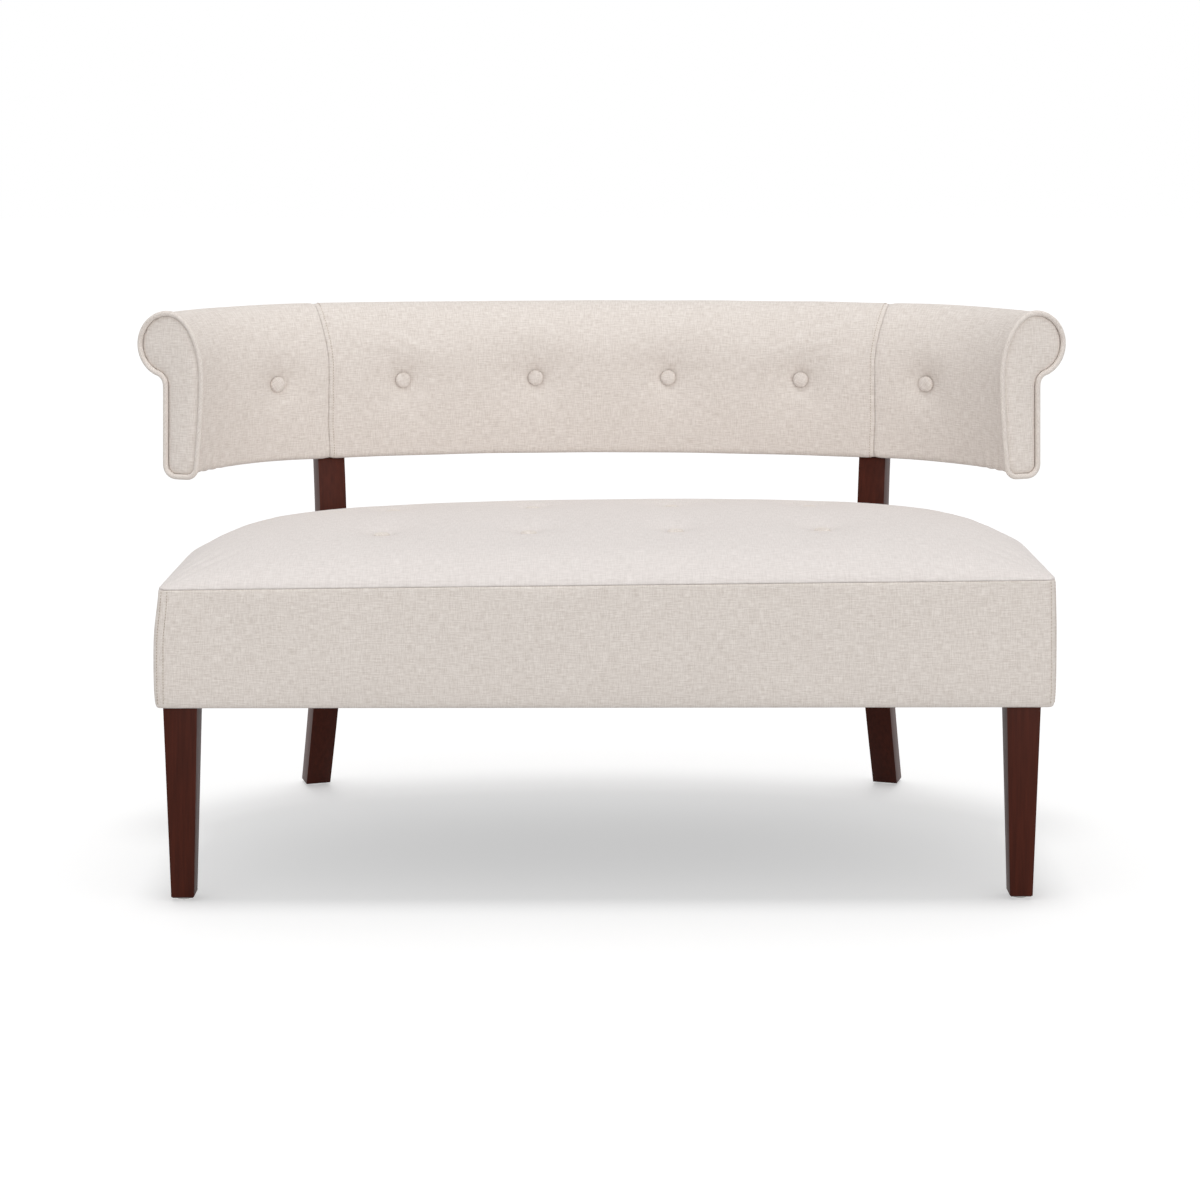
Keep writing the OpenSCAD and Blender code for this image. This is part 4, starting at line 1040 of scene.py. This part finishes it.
def rowOf(pointAt, count):
    # Places, directions and normals along a row, from points and points a little above them
    places, ways, ups = [], [], []
    for k in range(count):
        a, b, lifted = pointAt(k / count), pointAt((k + 0.6) / count), pointAt((k + 0.3) / count, 0.001)
        middle = (a + b) / 2
        way = (b - a) / np.linalg.norm(b - a)
        up = lifted - middle
        up = up - way * (up @ way)
        places.append(middle)
        ways.append(way)
        ups.append(up / np.linalg.norm(up))
    return places, ways, ups


def seamStitches(name, edge, offset):
    low, high = stitchLook["backStart"], contourRun[-1] - stitchLook["backEnd"]
    count = int((high - low) / stitchLook["pitch"])

    def pointAt(t, lift=0.0):
        run = np.array([low + (high - low) * t])
        seamAt = seamBow(edge, run)
        distance = seamAt + offset
        sink = backSink(distance, run, seamAt, math.inf) - stitchLook["proud"] - lift
        return np.concatenate(backPoint(distance, run, sink))

    return stitchRow(name, *rowOf(pointAt, count))


seamStitches("backStitchesLeft", -turnLength, stitchLook["offset"])
seamStitches("backStitchesRight", turnLength, -stitchLook["offset"])


def cornerStitches(name, run):
    count = int(stitchLook["cornerLength"] / stitchLook["pitch"])
    insets, heights = np.array(bandSection[hemRows[0] - 1::-1]).T

    def pointAt(t, lift=0.0):
        z = np.array([seat["seamHeight"] - stitchLook["cornerStart"] - stitchLook["cornerLength"] * t])
        inset = np.interp(z - seat["bottom"], heights, insets) - stitchLook["proud"] - lift
        x, y = bandPoint(np.array([run]), inset, z)
        return np.concatenate([x, y, z + leanAt(x, z)])

    return stitchRow(name, *rowOf(pointAt, count))


for seamRun, word, way in zip(seamRuns, ("Right", "Left"), (1, -1)):
    cornerStitches("seatStitchesFront" + word, seamRun + way * stitchLook["cornerOffset"])
    cornerStitches("seatStitchesSide" + word, seamRun - way * stitchLook["cornerOffset"])
print("stitching made")

# Legs: the frame's own legs with eased edges
legLook = {"ease": 0.0018, "segments": 3, "angle": math.radians(32), "flat": math.radians(0.6),
           "smooth": math.radians(24)}


def easedLeg(node, name):
    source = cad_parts[node]
    piece = source.copy()
    piece.data = source.data.copy()
    for key in list(piece.keys()):
        del piece[key]
    piece.parent = None
    scene.collection.objects.link(piece)
    piece.name = name
    piece.data.name = name
    startEdit(piece)
    bpy.ops.mesh.remove_doubles(threshold=mergeDistance)
    bpy.ops.mesh.dissolve_limited(angle_limit=legLook["flat"])
    endEdit()
    applyModifier(piece, "BEVEL", width=legLook["ease"], segments=legLook["segments"],
                  limit_method="ANGLE", angle_limit=legLook["angle"], use_clamp_overlap=True)
    pick(piece)
    bpy.ops.object.shade_smooth_by_angle(angle=legLook["smooth"])
    return finishPiece(piece, wood, [node])


for place, word in (("left", "Left"), ("right", "Right")):
    easedLeg("front_leg_" + place, "frontLeg" + word)
    easedLeg("rear_leg_" + place, "rearLeg" + word)
print("legs made")

# Dust cover under the seat
dust = {"inset": band["coverInset"], "height": 0.2574, "thickness": 0.0006, "sag": 0.0022,
        "even": 0.7, "columns": 90, "rows": 44}


def dustPlace(u, v):
    flatX, flatY = seatPlace(u, v)[3:]
    scale = (halfWidth - dust["inset"]) / halfWidth
    px = flatX * scale
    py = flatY + dust["inset"] * (1 - 2 * v)
    away = np.minimum(1 - np.abs(flatX) / halfWidth, 1 - np.abs(2 * v - 1))
    slack = dust["even"] + (1 - dust["even"]) * waves(px, py, 41, 0.2)
    z = dust["height"] - dust["sag"] * ease(away * 3) * slack
    return px, py, z, px, py


dustCover = gridPiece("dustCover", dust["columns"], dust["rows"], dustPlace)[0]
applyModifier(dustCover, "SOLIDIFY", thickness=dust["thickness"], offset=0)
finishPiece(dustCover, finishes["black_cloth"], ["dust_cover"])
print("dust cover made")

# Floor, light and camera
# Rays that see the white background itself: in the camera, in gloss and through glass
raysShown = ("Is Camera Ray", "Is Glossy Ray", "Is Transmission Ray")
studio = {"world": 0.62, "top": 0.83, "front": 1.4, "under": 0.85, "floor": 1.0, "bounce": 0.58,
          "lift": 0.275, "glow": 1.54}
clearSelection()
bpy.ops.mesh.primitive_plane_add(size=40, location=(0, 0, 0))
floor = named("studioFloor")
f = Finish("paleFloor")
shown = sum(f.node("ShaderNodeLightPath", output=ray) for ray in raysShown)
glow = f.node("ShaderNodeEmission", None, {"Color": (1, 1, 1, 1), "Strength": studio["glow"]})
f.set(Base_Color=f.tint((studio["bounce"],) * 3, (studio["floor"],) * 3, shown), Roughness=1.0,
      Specular_IOR_Level=0.0)
plain = Wire(f.tree, f.surface.outputs[0])
f.join(f.node("ShaderNodeMixShader", None, {0: shown * studio["lift"], 1: plain, 2: glow}), f.shown)
floor.data.materials.append(f.material)

world = bpy.data.worlds.new("studioWorld")
scene.world = world
sky = Nodes(world, "ShaderNodeOutputWorld")
light, seen = (sky.node("ShaderNodeBackground", None, {"Color": (1, 1, 1, 1), "Strength": strength})
               for strength in (studio["world"], 1.0))
shown = sum(sky.node("ShaderNodeLightPath", output=ray) for ray in raysShown)
sky.join(sky.node("ShaderNodeMixShader", None, {0: shown, 1: light, 2: seen}), sky.shown)


def sunLamp(name, strength, angle, tilt, colour):
    lamp = bpy.data.lights.new(name, "SUN")
    lamp.energy = strength
    lamp.angle = math.radians(angle)
    lamp.color = colour
    holder = bpy.data.objects.new(name, lamp)
    holder.rotation_euler = [math.radians(t) for t in tilt]
    scene.collection.objects.link(holder)
    return holder


def receivers(lamp, name, state):
    group = bpy.data.collections.new(name)
    group.objects.link(floor)
    group.collection_objects[0].light_linking.link_state = state
    lamp.light_linking.receiver_collection = group


# The settee's lamps leave the floor alone: it has its own, with a closer, more even shadow
topLamp = sunLamp("softTop", studio["top"], 30, (8, -6, 0), (1.0, 0.995, 0.995))
frontLamp = sunLamp("softFront", studio["front"], 60, (84, 0, 17), (1.0, 0.985, 0.965))
floorLamp = sunLamp("softFloor", studio["under"], 13, (0, 0, 0), (1.0, 1.0, 1.0))
receivers(topLamp, "leftOutByTopLamp", "EXCLUDE")
receivers(frontLamp, "leftOutByFrontLamp", "EXCLUDE")
receivers(floorLamp, "litByFloorLamp", "INCLUDE")

view = {"lens": 77.19, "place": (-0.0043, -3.6788, 1.0438), "turn": -0.296,
        "shift": (-0.0103, -0.412)}
lens = bpy.data.cameras.new("photoCamera")
lens.sensor_width = 36
lens.lens = view["lens"]
lens.shift_x, lens.shift_y = view["shift"]
eye = bpy.data.objects.new("photoCamera", lens)
eye.location = view["place"]
eye.rotation_euler = (math.radians(90), 0, math.radians(view["turn"]))
scene.collection.objects.link(eye)
scene.camera = eye
print("studio made")
